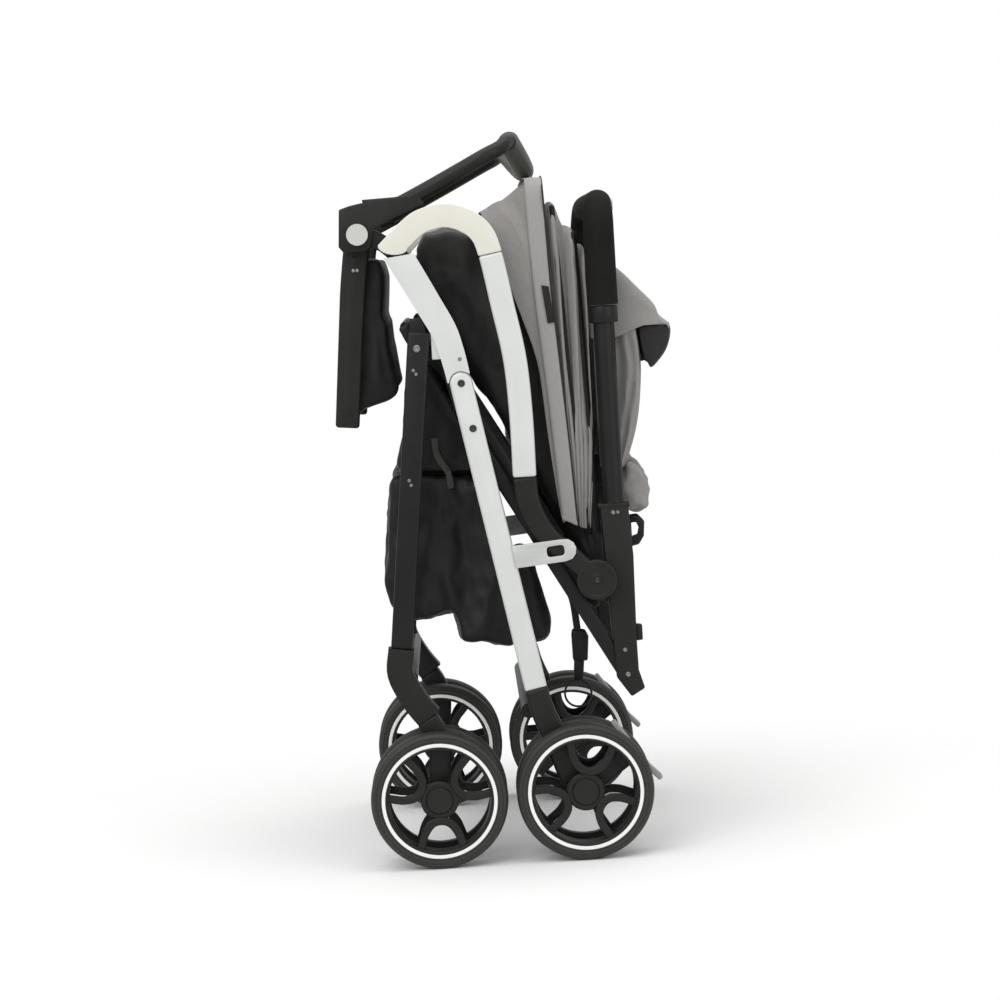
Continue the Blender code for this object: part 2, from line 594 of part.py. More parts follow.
# %% Seat frame: seat tubes, cross tubes, seat pad, hinge buttons at the front corners
SEAT_RUN = (SEAT_REAR - SEAT_FRONT).normalized()
SEAT_RISE = Vector((-SEAT_RUN.z, 0, SEAT_RUN.x))
SEAT_CROSS_R = 0.006
SEAT_CROSS_AT = (-0.030, 0.360)
SEAT_PAD_SPAN = (-0.055, 0.382)
SEAT_PAD_TOP = 0.0230
HINGE_DISC_R = 0.0165
HINGE_PIN_R = 0.0055
BUTTON_R = 0.0125
BUTTON_PRESS = 0.0025
BUTTON_THICK = 0.0050
BUTTON_CUP = 0.0036
PIN_PROUD = 0.0035
BASE_THICK = 0.005


def on_seat(along, rise):
    """A place in XZ, measured along the seat from its front pivot and above its tubes."""
    return flat(SEAT_FRONT + SEAT_RUN * along + SEAT_RISE * rise)


seat_out = SEAT_TUBE_Y + SEAT_TUBE_THICK / 2
seat_in = SEAT_TUBE_Y - SEAT_TUBE_THICK / 2
base_in = seat_out + CLEAR
base_out = base_in + BASE_THICK
for side, tag in SIDES:
    tube = plate(f"seat_tube_{tag}", ribbon([flat(FRONT_HINGE), flat(SEAT_FRONT),
                                             on_seat(0.30, 0), flat(SEAT_REAR)],
                                            SEAT_TUBE_WIDTH, 0.0170), side * seat_out,
                 side * seat_in)
    eye_faces = inset(side * seat_out, side * seat_in)
    join(tube, cylinder_y(f"rear_eye_{tag}", SEAT_REAR, 0.0085, *eye_faces, 24),
         cylinder_y(f"front_eye_{tag}", FRONT_HINGE, HINGE_DISC_R, *eye_faces, 28),
         cylinder_y(f"hinge_pin_{tag}", FRONT_HINGE, HINGE_PIN_R, side * (base_out + PIN_PROUD),
                    side * LEGREST_IN, 20))
    bore_faces = (side * (seat_out + BORE_SPARE), side * (seat_in - BORE_SPARE))
    cut(tube, cylinder_y(f"seat_bore_{tag}", SEAT_FRONT, PIN_R + CLEAR, *bore_faces, 12),
        cylinder_y(f"rear_eye_bore_{tag}", SEAT_REAR, PIN_R + CLEAR, *bore_faces, 12))
    finish(tube, black_metal, seat_frame)
    button_body = pivot_empty(f"body_button_{tag}", at_y(FRONT_HINGE, side * base_out), seat_frame)
    button_in = base_out + CLEAR + BUTTON_PRESS
    button = cylinder_y(f"hinge_button_{tag}", FRONT_HINGE, BUTTON_R, side * button_in,
                        side * (button_in + BUTTON_THICK), 28)
    cut(button, cylinder_y(f"button_cup_{tag}", FRONT_HINGE, HINGE_PIN_R + CLEAR,
                           side * (button_in - CLEAR), side * (button_in + BUTTON_CUP), 20))
    finish(button, grey_plastic, button_body)

for number, along in enumerate(SEAT_CROSS_AT):
    place = on_seat(along, 0)
    cross = cylinder_y(f"seat_cross_tube_{number + 1}", (place.x, 0, place.y), SEAT_CROSS_R,
                       -(seat_in - CLEAR), seat_in - CLEAR, 16)
    finish(cross, black_metal, seat_frame)
low = SEAT_CROSS_R + CLEAR
pad = plate("seat_pad", [tuple(on_seat(SEAT_PAD_SPAN[0], low)), tuple(on_seat(SEAT_PAD_SPAN[1], low)),
                         tuple(on_seat(SEAT_PAD_SPAN[1], SEAT_PAD_TOP)),
                         tuple(on_seat(SEAT_PAD_SPAN[0], SEAT_PAD_TOP))],
            -PAD_HALF_WIDTH, PAD_HALF_WIDTH)
round_edges(pad, 0.006, 3, 60)
finish(pad, black_cloth, seat_frame)

STRAP_Y = -0.100
STRAP_HALF = 0.010
strap_top = on_seat(SEAT_CROSS_AT[1], 0) + Vector((0, -SEAT_CROSS_R - CLEAR))
strap = plate("strap_web", ribbon([strap_top, strap_top + Vector((-0.003, -0.035))], 0.0022),
              STRAP_Y - STRAP_HALF, STRAP_Y + STRAP_HALF)
buckle_top = strap_top + Vector((-0.003, -0.034))
buckle = plate("fold_strap", [(buckle_top.x - 0.006, buckle_top.y), (buckle_top.x + 0.006, buckle_top.y),
                                (buckle_top.x + 0.011, buckle_top.y - 0.030),
                                (buckle_top.x - 0.010, buckle_top.y - 0.034)],
               STRAP_Y - 0.014, STRAP_Y + 0.014)
join(buckle, strap)
finish(buckle, black_plastic, seat_frame)

# %% Legrest: two flat arms and a padded panel between them
LEGREST_PATH = [Vector(p) for p in ((-0.1630, 0.7390), (-0.1720, 0.6800), (-0.1775, 0.6300),
                                    (-0.1890, 0.5150))]
LEGREST_WIDTH = 0.0310
LEGREST_PAD = [(-0.1640, 0.7000), (-0.1357, 0.7000), (-0.1385, 0.6440), (-0.1330, 0.6350),
               (-0.1330, 0.6080), (-0.1255, 0.5540), (-0.1290, 0.5440), (-0.1720, 0.5320),
               (-0.1900, 0.5200), (-0.1860, 0.5600)]
for side, tag in SIDES:
    arm = plate(f"legrest_arm_{tag}", ribbon(LEGREST_PATH, LEGREST_WIDTH, 0.0280),
                side * LEGREST_OUT, side * LEGREST_IN)
    join(arm, cylinder_y(f"legrest_eye_{tag}", FRONT_HINGE, HINGE_DISC_R,
                         *inset(side * LEGREST_OUT, side * LEGREST_IN), 28))
    cut(arm, cylinder_y(f"legrest_bore_{tag}", FRONT_HINGE, HINGE_PIN_R + CLEAR,
                        side * (LEGREST_OUT + BORE_SPARE), side * (LEGREST_IN - BORE_SPARE), 20))
    finish(arm, black_plastic, legrest)
leg_pad = plate("legrest_pad", LEGREST_PAD, -(LEGREST_IN - CLEAR), LEGREST_IN - CLEAR)
round_edges(leg_pad, 0.005, 2, 40)
finish(leg_pad, black_cloth, legrest)

# %% Bumper bar: moulded bases round the hinge, bent arms and a padded grip
BASE_OUTLINE = [(-0.1825, 0.7690), (-0.1580, 0.7750), (-0.1352, 0.7775), (-0.0970, 0.7790),
                (-0.0950, 0.7643), (-0.1180, 0.7560), (-0.1440, 0.7440), (-0.1480, 0.7240),
                (-0.1560, 0.7190), (-0.1800, 0.7190), (-0.1854, 0.7260)]
BUMPER_START = Vector((-0.1150, 0, 0.7700))
BUMPER_BEND = Vector((-0.0050, 0, 0.8235))
BUMPER_END = Vector((0.0192, 0, 0.8380))
BUMPER_MIDDLE = Vector((0.0386, 0, 0.8070))
BUMPER_GRIP_HALF = LEG_Y - 0.058
bumper_y = base_out - BUMPER_R
GRIP_STEPS = 12
grip_path = []
for k in range(GRIP_STEPS + 1):
    across = -1 + 2 * k / GRIP_STEPS
    bow = BUMPER_END.lerp(BUMPER_MIDDLE, 1 - across ** 2)
    grip_path.append(at_y(bow, across * BUMPER_GRIP_HALF))
for side, tag in SIDES:
    grip_end = grip_path[0] if side < 0 else grip_path[-1]
    outward = (grip_end - (grip_path[1] if side < 0 else grip_path[-2])).normalized()
    path = [at_y(BUMPER_START, side * bumper_y), at_y(BUMPER_BEND, side * bumper_y),
            at_y(BUMPER_BEND.lerp(BUMPER_END, 0.45), side * (bumper_y - 0.006)),
            grip_end + outward * 0.012, grip_end + outward * CLEAR]
    arm = rod(f"bumper_arm_{tag}", path, BUMPER_R, 2)
    base = plate(f"bumper_base_{tag}", BASE_OUTLINE, side * base_out, side * base_in)
    join(arm, base)
    cut(arm, cylinder_y(f"base_bore_{tag}", FRONT_HINGE, HINGE_PIN_R + CLEAR,
                        side * (base_out + BORE_SPARE), side * (base_in - BORE_SPARE), 20))
    finish(arm, black_plastic, bumper)
bumper_grip = rod("bumper_grip", grip_path, BUMPER_GRIP_R, 2)
finish(bumper_grip, foam, bumper)

# %% Handle: channel brackets, tubes with collars, one foam grip over the top, release button
HANDLE_X = 0.1170
BRACKET_TOP = 0.4090
BRACKET_OUTLINE = [(0.0995, BRACKET_TOP), (0.1330, BRACKET_TOP), (0.1361, 0.3467), (0.1345, 0.2485),
                   (0.1350, 0.2123), (0.1413, 0.1906), (0.1250, 0.1812), (0.1093, 0.2042),
                   (0.1044, 0.2982)]
BRACKET_LUG_R = 0.0180
LUG_STEP = 0.0004
CANOPY_PIN_R = 0.0030
COLLAR_R = 0.0172
COLLAR_Z = (0.6205, 0.6405)
GRIP_CROSS_Z = 0.7600
GRIP_BEND = 0.0280
BOW_HALF = BRACKET_Y - BRACKET_THICK / 2 - 0.0010 - BOW_R
bracket_in = BRACKET_Y - BRACKET_THICK / 2
bracket_out = BRACKET_Y + BRACKET_THICK / 2
channel_half = SEAT_TUBE_THICK / 2 + 0.0008
for side, tag in SIDES:
    lug_faces = (side * (bracket_out - LUG_STEP), side * (bracket_in + LUG_STEP))
    bracket = plate(f"handle_bracket_{tag}", BRACKET_OUTLINE, side * bracket_out, side * bracket_in)
    join(bracket, cylinder_y(f"disc_lug_{tag}", ARM_REAR, BRACKET_LUG_R, *lug_faces, 28),
         cylinder_y(f"canopy_pin_{tag}", CANOPY_PIVOT, CANOPY_PIN_R, side * (bracket_in + 0.003),
                    side * (bracket_in - 2 * BOW_R), 12))
    wall = flat(SEAT_REAR + SEAT_RISE * 0.0090)
    deep = flat(SEAT_REAR + SEAT_RISE * 0.0130 - SEAT_RUN * 0.11)
    room = plate(f"channel_{tag}", [tuple(wall), tuple(deep), (0.0200, 0.3000), (0.0200, 0.1300),
                                    (0.1275, 0.1925)],
                 side * (SEAT_TUBE_Y + channel_half), side * (SEAT_TUBE_Y - channel_half))
    eye_room = cylinder_y(f"eye_room_{tag}", SEAT_REAR, 0.0090, side * (SEAT_TUBE_Y + channel_half),
                          side * (SEAT_TUBE_Y - channel_half), 24)
    cut(bracket, room, eye_room)
    join(bracket, cylinder_y(f"rear_pin_{tag}", SEAT_REAR, PIN_R, side * (bracket_out - 0.001),
                             side * (bracket_in + 0.001), 16),
         cylinder_y(f"disc_pin_{tag}", ARM_REAR, PIN_R, side * (bracket_out - 0.002),
                    side * (DISC_OUT - LAP), 16))
    cut(bracket, plate(f"slot_{tag}", ribbon([Vector((0.1235, 0.3120)), Vector((0.1231, 0.2990))],
                                             0.0040), side * (bracket_out + 0.01),
                       side * (bracket_out - 0.004)))
    finish(bracket, black_plastic, handle)

    tube = rod(f"handle_tube_{tag}", [Vector((HANDLE_X, side * BRACKET_Y, BRACKET_TOP + CLEAR)),
                                      Vector((HANDLE_X, side * BRACKET_Y, COLLAR_Z[1]))], HANDLE_R, 4)
    collar = cylinder_along(f"collar_{tag}", Vector((HANDLE_X, side * BRACKET_Y, COLLAR_Z[0])),
                            Vector((0, 0, 1)), COLLAR_Z[1] - COLLAR_Z[0], COLLAR_R, 28)
    join(tube, collar)
    finish(tube, black_metal, handle)

grip_half = []
for k in range(6):
    turn = math.radians(18 * k)
    grip_half.append((BRACKET_Y - GRIP_BEND + GRIP_BEND * math.cos(turn),
                      GRIP_CROSS_Z - GRIP_BEND + GRIP_BEND * math.sin(turn)))
grip_points = [Vector((HANDLE_X, -BRACKET_Y, COLLAR_Z[1] + CLEAR))]
grip_points += [Vector((HANDLE_X, -y, z)) for y, z in grip_half]
grip_points += [Vector((HANDLE_X, y, z)) for y, z in reversed(grip_half)]
grip_points += [Vector((HANDLE_X, BRACKET_Y, COLLAR_Z[1] + CLEAR))]
grip = rod("handle_grip", grip_points, GRIP_R, 3)
PUSH_BUTTON_R = 0.0080
PUSH_X = HANDLE_X + GRIP_R
PUSH_TRAVEL = 0.0030
button_start = Vector((PUSH_X - 0.003, 0, GRIP_CROSS_Z))
along_x = Vector((1, 0, 0))
cut(grip, cylinder_along("button_pocket", button_start - along_x * (PUSH_TRAVEL + CLEAR), along_x,
                         0.03, PUSH_BUTTON_R + CLEAR, 24))
finish(grip, foam, handle)
release_body = pivot_empty("body_release", button_start, handle)
release = cylinder_along("release_button", button_start, along_x, 0.0130, PUSH_BUTTON_R, 24)
round_edges(release, 0.0015, 1)
finish(release, grey_plastic, release_body)

# %% Seat back: a rod between the brackets and the padded back that rests on it
BACK_OUTLINE = [(0.1111, 0.2709), (0.1332, 0.2795), (-0.0330, 0.7180), (-0.0600, 0.7250),
                (-0.0900, 0.7280), (-0.0990, 0.7150), (-0.0850, 0.6800), (-0.0600, 0.6400),
                (-0.0300, 0.5750), (0.0120, 0.4900), (0.0660, 0.3800)]
BACK_HALF_WIDTH = PAD_HALF_WIDTH - 0.005
BACK_ROD_R = 0.005
back_rod = cylinder_y("back_rod", BACK_PIVOT, BACK_ROD_R, -(bracket_in - CLEAR), bracket_in - CLEAR, 16)
finish(back_rod, black_metal, handle)
back = plate("seat_back", BACK_OUTLINE, -BACK_HALF_WIDTH, BACK_HALF_WIDTH)
cut(back, cylinder_y("rod_groove", BACK_PIVOT, BACK_ROD_R + CLEAR, -BACK_HALF_WIDTH - BORE_SPARE,
                     BACK_HALF_WIDTH + BORE_SPARE, 20))
finish(back, black_cloth, back_body)

# %% Canopy: three bows that fan out from one pivot, the folded cloth and its rear flap
BOW_LAYER = 0.0022
BOW_START = 0.0380
BOWS = (("canopy_bow_front", canopy_front, 0, 114, (Vector((0.0625, 0.4500)), Vector((0.0560, 0.5500)),
                                                    Vector((0.0500, 0.6500))), 0.0465, 0.7870),
        ("canopy_bow_middle", canopy_middle, 1, 99, (Vector((0.0800, 0.4500)), Vector((0.0740, 0.5500)),
                                                     Vector((0.0700, 0.6500))), 0.0650, 0.7580),
        ("canopy_bow_rear", handle, 2, 84, (Vector((0.0960, 0.4500)), Vector((0.0935, 0.5500)),
                                            Vector((0.0910, 0.6500))), 0.0885, 0.7260))
CORNER = 0.0030
for name, body, layer, angle, middle, top_x, top_z in BOWS:
    start = flat(CANOPY_PIVOT) + Vector((math.cos(math.radians(angle)),
                                         math.sin(math.radians(angle)))) * BOW_START
    half = [Vector((p.x, BOW_HALF, p.y)) for p in (start, *middle)]
    half += [Vector((top_x, BOW_HALF, top_z - CORNER)), Vector((top_x, BOW_HALF - 0.3 * CORNER, top_z - 0.3 * CORNER)),
             Vector((top_x, BOW_HALF - CORNER, top_z))]
    path = [Vector((p.x, -p.y, p.z)) for p in half] + half[::-1]
    bow = rod(name, path, BOW_R - 0.0005, 1)
    tools = []
    for side in (-1, 1):
        y_in = side * (BOW_HALF - BOW_R + layer * (BOW_LAYER + CLEAR) + CLEAR)
        y_out = y_in + side * BOW_LAYER
        tools.append(cylinder_y(f"{name}_eye", CANOPY_PIVOT, 0.0065, y_out, y_in, 10))
        tongue = ribbon([flat(CANOPY_PIVOT), start + (start - flat(CANOPY_PIVOT)) * 0.06], 0.0055)
        tools.append(plate(f"{name}_tongue", tongue, *inset(y_out, y_in, 0.5)))
    join(bow, *tools)
    cut(bow, *[cylinder_y(f"{name}_bore", CANOPY_PIVOT, CANOPY_PIN_R + 0.0005,
                          side * (BOW_HALF - BORE_SPARE), side * (BOW_HALF + BORE_SPARE), 8)
               for side in (-1, 1)])
    finish(bow, black_metal, body)

CANOPY_OUTER = BOW_HALF - BOW_R + 0.0002
CANOPY_WALL = 0.0100
CANOPY_OUTLINE = [(-0.0200, 0.7560), (0.0050, 0.7000), (0.0200, 0.6400), (0.0350, 0.5800),
                  (0.0450, 0.5000), (0.0550, 0.4200), (0.0700, 0.3950), (0.0980, 0.3950),
                  (0.1010, 0.5000), (0.1000, 0.6900), (0.0980, 0.7180), (0.0840, 0.7190),
                  (0.0800, 0.7500), (0.0600, 0.7520), (0.0540, 0.7825), (0.0350, 0.7790)]
CANOPY_ROOM = [(-0.0600, 0.3000), (0.1300, 0.3000), (0.1300, 0.7040), (0.0800, 0.7060),
               (0.0770, 0.7360), (0.0560, 0.7380), (0.0500, 0.7660), (0.0350, 0.7650),
               (-0.0600, 0.7280)]
cloth = plate("canopy_cloth", CANOPY_OUTLINE, -CANOPY_OUTER, CANOPY_OUTER)
cut(cloth, plate("canopy_room", CANOPY_ROOM, -(CANOPY_OUTER - CANOPY_WALL),
                 CANOPY_OUTER - CANOPY_WALL))
finish(cloth, grey_cloth, handle)
FLAP_OUTLINE = [(0.1006, 0.7000), (0.1350, 0.6900), (0.1810, 0.6370), (0.2029, 0.6110),
                (0.1720, 0.5900), (0.1620, 0.5600), (0.1600, 0.5000), (0.1500, 0.4550),
                (0.1620, 0.4300), (0.1600, 0.4020), (0.1400, 0.3900), (0.1290, 0.4000),
                (0.1220, 0.4600), (0.1120, 0.6000), (0.1006, 0.6500)]
flap = plate("canopy_flap", FLAP_OUTLINE, -CANOPY_OUTER, CANOPY_OUTER)
finish(flap, grey_cloth, handle)
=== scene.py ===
# %% [markdown]
# # A folded pushchair, standing on its wheels
# This lesson dresses a finished CAD model of a folding pushchair. The CAD nodes come in as a
# fixed frame, in metres, with the floor at z = 0, the front of the chair toward -X and the
# occupant's left side toward -Y, which is also the side that the camera sees.

# %% Load the fixed frame
import math

import bpy
from mathutils import Matrix, Vector, noise


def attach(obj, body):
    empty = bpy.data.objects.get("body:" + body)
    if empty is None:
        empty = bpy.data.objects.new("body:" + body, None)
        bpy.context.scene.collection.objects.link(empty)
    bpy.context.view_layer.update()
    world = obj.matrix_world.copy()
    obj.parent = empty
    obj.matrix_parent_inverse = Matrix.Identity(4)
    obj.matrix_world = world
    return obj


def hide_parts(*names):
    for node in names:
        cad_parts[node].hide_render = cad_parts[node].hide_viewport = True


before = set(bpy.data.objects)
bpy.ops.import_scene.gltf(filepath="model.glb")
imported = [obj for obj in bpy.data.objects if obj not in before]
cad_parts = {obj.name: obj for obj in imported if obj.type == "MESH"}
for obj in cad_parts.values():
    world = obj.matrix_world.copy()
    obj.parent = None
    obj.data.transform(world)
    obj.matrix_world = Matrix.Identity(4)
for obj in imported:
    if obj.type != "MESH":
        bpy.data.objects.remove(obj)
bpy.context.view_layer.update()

# %% [markdown]
# ## The camera
# The picture was taken from the side with a long lens, from a little above the middle of the
# chair, looking slightly down, and it is rolled by a few degrees. The camera is aimed by its own
# three axes: first the direction of view, then a level pair across it, then the roll.

# %% Camera
CAMERA_AT = Vector((-0.0599, -3.7539, 0.693))
LENS_MM = 110.16
SENSOR_MM = 36.0
ROLL, PITCH, YAW = (math.radians(v) for v in (3.398, 4.36, 0.707))

bpy.ops.object.camera_add(location=CAMERA_AT)
camera = bpy.context.object
camera.data.sensor_width = SENSOR_MM
camera.data.lens = LENS_MM
ahead = Vector((math.sin(YAW) * math.cos(PITCH), math.cos(YAW) * math.cos(PITCH),
    -math.sin(PITCH)))
level_right = Vector((math.cos(YAW), -math.sin(YAW), 0))
level_up = level_right.cross(ahead)
right = level_right * math.cos(ROLL) - level_up * math.sin(ROLL)
up = level_right * math.sin(ROLL) + level_up * math.cos(ROLL)
camera.rotation_euler = Matrix((right, up, -ahead)).transposed().to_euler()
bpy.context.scene.camera = camera
print("lens:", round(camera.data.lens, 1), "mm")

# %% [markdown]
# ## Studio light and floor
# The picture is a cut-out on white with broad, soft light. Four large area lamps give long,
# soft highlights on the tubes. The world is white to the camera and to transmission rays but
# dimmer as a light, and the floor fades out away from the chair, so no horizon shows.

# %% Helpers for shader nodes
def wire(tree, node, inputs):
    """Fills a node's inputs: an output socket is linked, anything else is set as a value."""
    for key, value in inputs.items():
        if isinstance(value, bpy.types.NodeSocket):
            tree.links.new(value, node.inputs[key])
        else:
            node.inputs[key].default_value = value


def shader_node(tree, kind, inputs=None, **options):
    """Adds a shader node of this kind with its options and inputs."""
    node = tree.nodes.new("ShaderNode" + kind)
    for key, value in options.items():
        setattr(node, key, value)
    wire(tree, node, inputs or {})
    return node


def new_material(name):
    """A node material with its tree and its main shader."""
    material = bpy.data.materials.new(name)
    material.use_nodes = True
    return material, material.node_tree, material.node_tree.nodes["Principled BSDF"]


# %% Lamps, world and floor
scene = bpy.context.scene
scene.view_settings.view_transform = "Standard"
LAMPS = (("key", (-1.6, -3.1, 2.7), 2.6, 54.0), ("fill", (2.6, -3.0, 1.5), 2.4, 26.0),
    ("top", (0.0, -0.2, 3.2), 3.0, 44.0), ("back", (0.6, 3.2, 2.2), 2.2, 7.0))
LOOK_AT = Vector((0, 0, 0.42))
for name, place, size, power in LAMPS:
    bpy.ops.object.light_add(type="AREA", location=place)
    lamp = bpy.context.object
    lamp.name = f"lamp_{name}"
    lamp.data.size = size
    lamp.data.energy = power
    lamp.rotation_euler = (LOOK_AT - Vector(place)).to_track_quat("-Z", "Y").to_euler()

WORLD_LIGHT = 0.62
world = bpy.data.worlds.new("studio")
scene.world = world
world.use_nodes = True
sky = world.node_tree
ray = shader_node(sky, "LightPath").outputs
seen = shader_node(sky, "Math", {0: ray["Is Camera Ray"], 1: ray["Is Transmission Ray"]},
    operation="MAXIMUM")
strength = shader_node(sky, "MapRange", {"To Min": WORLD_LIGHT, "To Max": 1.0,
    "Value": seen.outputs[0]})
wire(sky, sky.nodes["Background"], {"Color": (1, 1, 1, 1), "Strength": strength.outputs["Result"]})

FLOOR_SOLID, FLOOR_GONE = 0.3, 0.95
bpy.ops.mesh.primitive_circle_add(vertices=96, radius=1.6, fill_type="NGON")
floor = bpy.context.object
floor.name = "floor"
floor_finish, tree, surface = new_material("studio_floor")
reach = shader_node(tree, "VectorMath", {0: shader_node(tree, "TexCoord").outputs["Object"]},
    operation="LENGTH")
fade = shader_node(tree, "MapRange", {"From Min": FLOOR_SOLID, "From Max": FLOOR_GONE,
    "Value": reach.outputs["Value"]}, interpolation_type="SMOOTHERSTEP")
clear = shader_node(tree, "BsdfTransparent")
wire(tree, surface, {"Base Color": (0.93, 0.93, 0.925, 1), "Roughness": 0.9,
    "Specular IOR Level": 0.0})
faded = shader_node(tree, "MixShader", {0: fade.outputs["Result"], 1: surface.outputs[0],
    2: clear.outputs[0]})
wire(tree, tree.nodes["Material Output"], {"Surface": faded.outputs[0]})
floor.data.materials.append(floor_finish)

# %% [markdown]
# ## Finishes
# A moulded plastic is never one flat colour: its tone drifts a little, its grain breaks up the
# highlight, and its roughness varies where hands polish it. One helper builds that: noise at a
# broad scale for the tone, noise at a fine scale for roughness and bump. All of it reads Object
# coordinates, and every finished piece keeps its object at the origin, so nothing slides.


def two_tones(tree, mix, places, colour, tone):
    """A darker and a lighter tone of a colour, mixed by a noise."""
    ramp = shader_node(tree, "ValToRGB", {"Fac": mix})
    for stop, place, share in zip(ramp.color_ramp.elements, places, (1 - tone, 1 + tone)):
        stop.position = place
        stop.color = (*[min(c * share, 1) for c in colour], 1)
    return ramp.outputs["Color"]


def noise_fac(tree, where, scale, detail):
    """The grey output of a noise texture."""
    return shader_node(tree, "TexNoise", {"Scale": scale, "Detail": detail,
        "Vector": where}).outputs["Fac"]


def moulded(name, colour, roughness, metallic=0.0, tone=0.1, tone_scale=14.0,
        grain_scale=900.0, grain=0.1, coat=0.0, streak=(1, 1, 1), shine=0.5):
    """A procedural hard finish: drifting tone, uneven roughness and a fine grain."""
    material, tree, shader = new_material(name)
    where = shader_node(tree, "TexCoord").outputs["Object"]
    stretch = shader_node(tree, "Mapping", {"Scale": streak, "Vector": where})
    drift = noise_fac(tree, stretch.outputs["Vector"], tone_scale, 4)
    spread = shader_node(tree, "MapRange", {"To Min": roughness * 0.88, "Value": drift,
        "To Max": min(roughness * 1.16, 1)})
    bump = shader_node(tree, "Bump", {"Strength": grain, "Distance": 0.0004,
        "Height": noise_fac(tree, where, grain_scale, 2)})
    wire(tree, shader, {"Metallic": metallic, "Coat Weight": coat, "Specular IOR Level": shine,
        "Coat Roughness": 0.25, "Roughness": spread.outputs["Result"],
        "Base Color": two_tones(tree, drift, (0.3, 0.7), colour, tone),
        "Normal": bump.outputs["Normal"]})
    return material


# %% [markdown]
# Woven cloth gets three sets of fine waves, one along each axis. On any face two of them cross,
# which gives a plain weave whichever way the cloth faces. A broader noise adds the slight
# mottle of the yarn, and a sheen lights the rims of the folds as real fibres do.

# %% A helper for woven finishes
def woven(name, colour, thread, mottle=0.16, relief=0.35, sheen=0.25, roughness=0.92):
    """A procedural cloth: crossed threads, yarn mottle and sheen."""
    material, tree, shader = new_material(name)
    where = shader_node(tree, "TexCoord").outputs["Object"]
    height = None
    for axis in "XYZ":
        wave = shader_node(tree, "TexWave", {"Scale": 0.314 / thread, "Distortion": 0.4,
            "Vector": where}, bands_direction=axis)
        if height is None:
            height = wave.outputs["Fac"]
        else:
            height = shader_node(tree, "Math", {0: height, 1: wave.outputs["Fac"]}).outputs[0]
    half = shader_node(tree, "Math", {0: noise_fac(tree, where, 260.0, 6), 1: 0.55},
        operation="MULTIPLY")
    both = shader_node(tree, "Math", {0: noise_fac(tree, where, 9.0, 3), 1: 0.45,
        2: half.outputs[0]}, operation="MULTIPLY_ADD")
    bump = shader_node(tree, "Bump", {"Strength": relief, "Distance": thread * 0.4,
        "Height": height})
    wire(tree, shader, {"Roughness": roughness, "Sheen Weight": sheen, "Sheen Roughness": 0.45,
        "Specular IOR Level": 0.35, "Normal": bump.outputs["Normal"],
        "Base Color": two_tones(tree, both.outputs[0], (0.36, 0.64), colour, mottle)})
    return material


# %% The finishes of this chair
cream_shell = moulded("cream_shell", (0.76, 0.745, 0.665), 0.42, tone=0.02)
silver_paint = moulded("silver_paint", (0.7, 0.715, 0.7), 0.38, 0.1, tone=0.025,
    tone_scale=22, grain_scale=1400, grain=0.05)
plate_metal = moulded("plate_metal", (0.6, 0.61, 0.595), 0.36, 0.3, tone=0.05,
    grain_scale=1600, grain=0.06, streak=(1, 1, 8))
black_paint = moulded("black_paint", (0.0085, 0.0084, 0.008), 0.38, 0.0, tone=0.14,
    tone_scale=30, grain_scale=1300, grain=0.1, shine=0.3)
black_shell = moulded("black_shell", (0.0115, 0.0114, 0.0104), 0.44, tone=0.14,
    tone_scale=26, grain_scale=1000, grain=0.22, shine=0.3)
grey_shell = moulded("grey_shell", (0.56, 0.56, 0.54), 0.42, tone=0.03)
pedal_shell = moulded("pedal_shell", (0.3, 0.3, 0.295), 0.48, tone=0.05)
tyre_foam = moulded("tyre_foam", (0.0215, 0.0215, 0.0195), 0.58, tone=0.16, tone_scale=45,
    grain_scale=700, grain=0.3)
white_ring = moulded("white_ring", (0.86, 0.86, 0.84), 0.4, tone=0.015)
grip_foam = moulded("grip_foam", (0.0088, 0.0086, 0.0072), 0.8, tone=0.2,
    tone_scale=60, grain_scale=520, grain=0.55, shine=0.18)
# The grip's own dark colour lifted and tinted olive: a painted highlight along its top.
bumper_skin_and_highlight = moulded("bumper_skin_and_highlight", (0.07, 0.07, 0.058), 0.55, tone=0.12,
    tone_scale=40, grain_scale=800, grain=0.14, coat=0.15)
bright_steel = moulded("bright_steel", (0.42, 0.42, 0.41), 0.3, 0.9, tone=0.04)
dark_steel = moulded("dark_steel", (0.05, 0.05, 0.048), 0.26, 0.6, tone=0.06)
worn_steel = moulded("worn_steel", (0.26, 0.26, 0.25), 0.3, 0.7, tone=0.06)
canopy_weave = woven("canopy_weave", (0.292, 0.28, 0.27), 0.0011, 0.055)
# The same canopy cloth painted lighter, a painted highlight, for the sleeve over the front bow and
# its hem.
lit_canopy_weave = woven("lit_canopy_weave", (0.345, 0.338, 0.33), 0.0011, 0.045)
lining_weave = woven("lining_weave", (0.026, 0.024, 0.025), 0.0011, 0.08,
    sheen=0.12)
seat_weave = woven("seat_weave", (0.015, 0.0136, 0.013), 0.001, mottle=0.12,
    relief=0.18, sheen=0.06, roughness=0.52)
# A darker copy of the black seat cloth: painted shade on the legrest cushion and on the seat cloth
# that hangs under the seat; the basket bag has this colour as its own.
bag_and_shaded_seat_weave = woven("bag_and_shaded_seat_weave", (0.0032, 0.0031, 0.0028), 0.001, mottle=0.12,
    relief=0.18, sheen=0.05, roughness=0.44)
webbing = woven("webbing", (0.022, 0.021, 0.02), 0.0018, mottle=0.25, relief=0.6,
    sheen=0.08)
grey_webbing = woven("grey_webbing", (0.075, 0.073, 0.064), 0.0018, relief=0.6)


# %% [markdown]
# ## Shop tools
# New pieces start as a primitive and are shaped in edit mode. Four small tools cover most of
# the frame: a flat outline that is extruded and has its rims rounded, a profile that is spun
# about an axle, a round tube along a smooth curve, and a last step that gives each piece its
# name, finish and body.

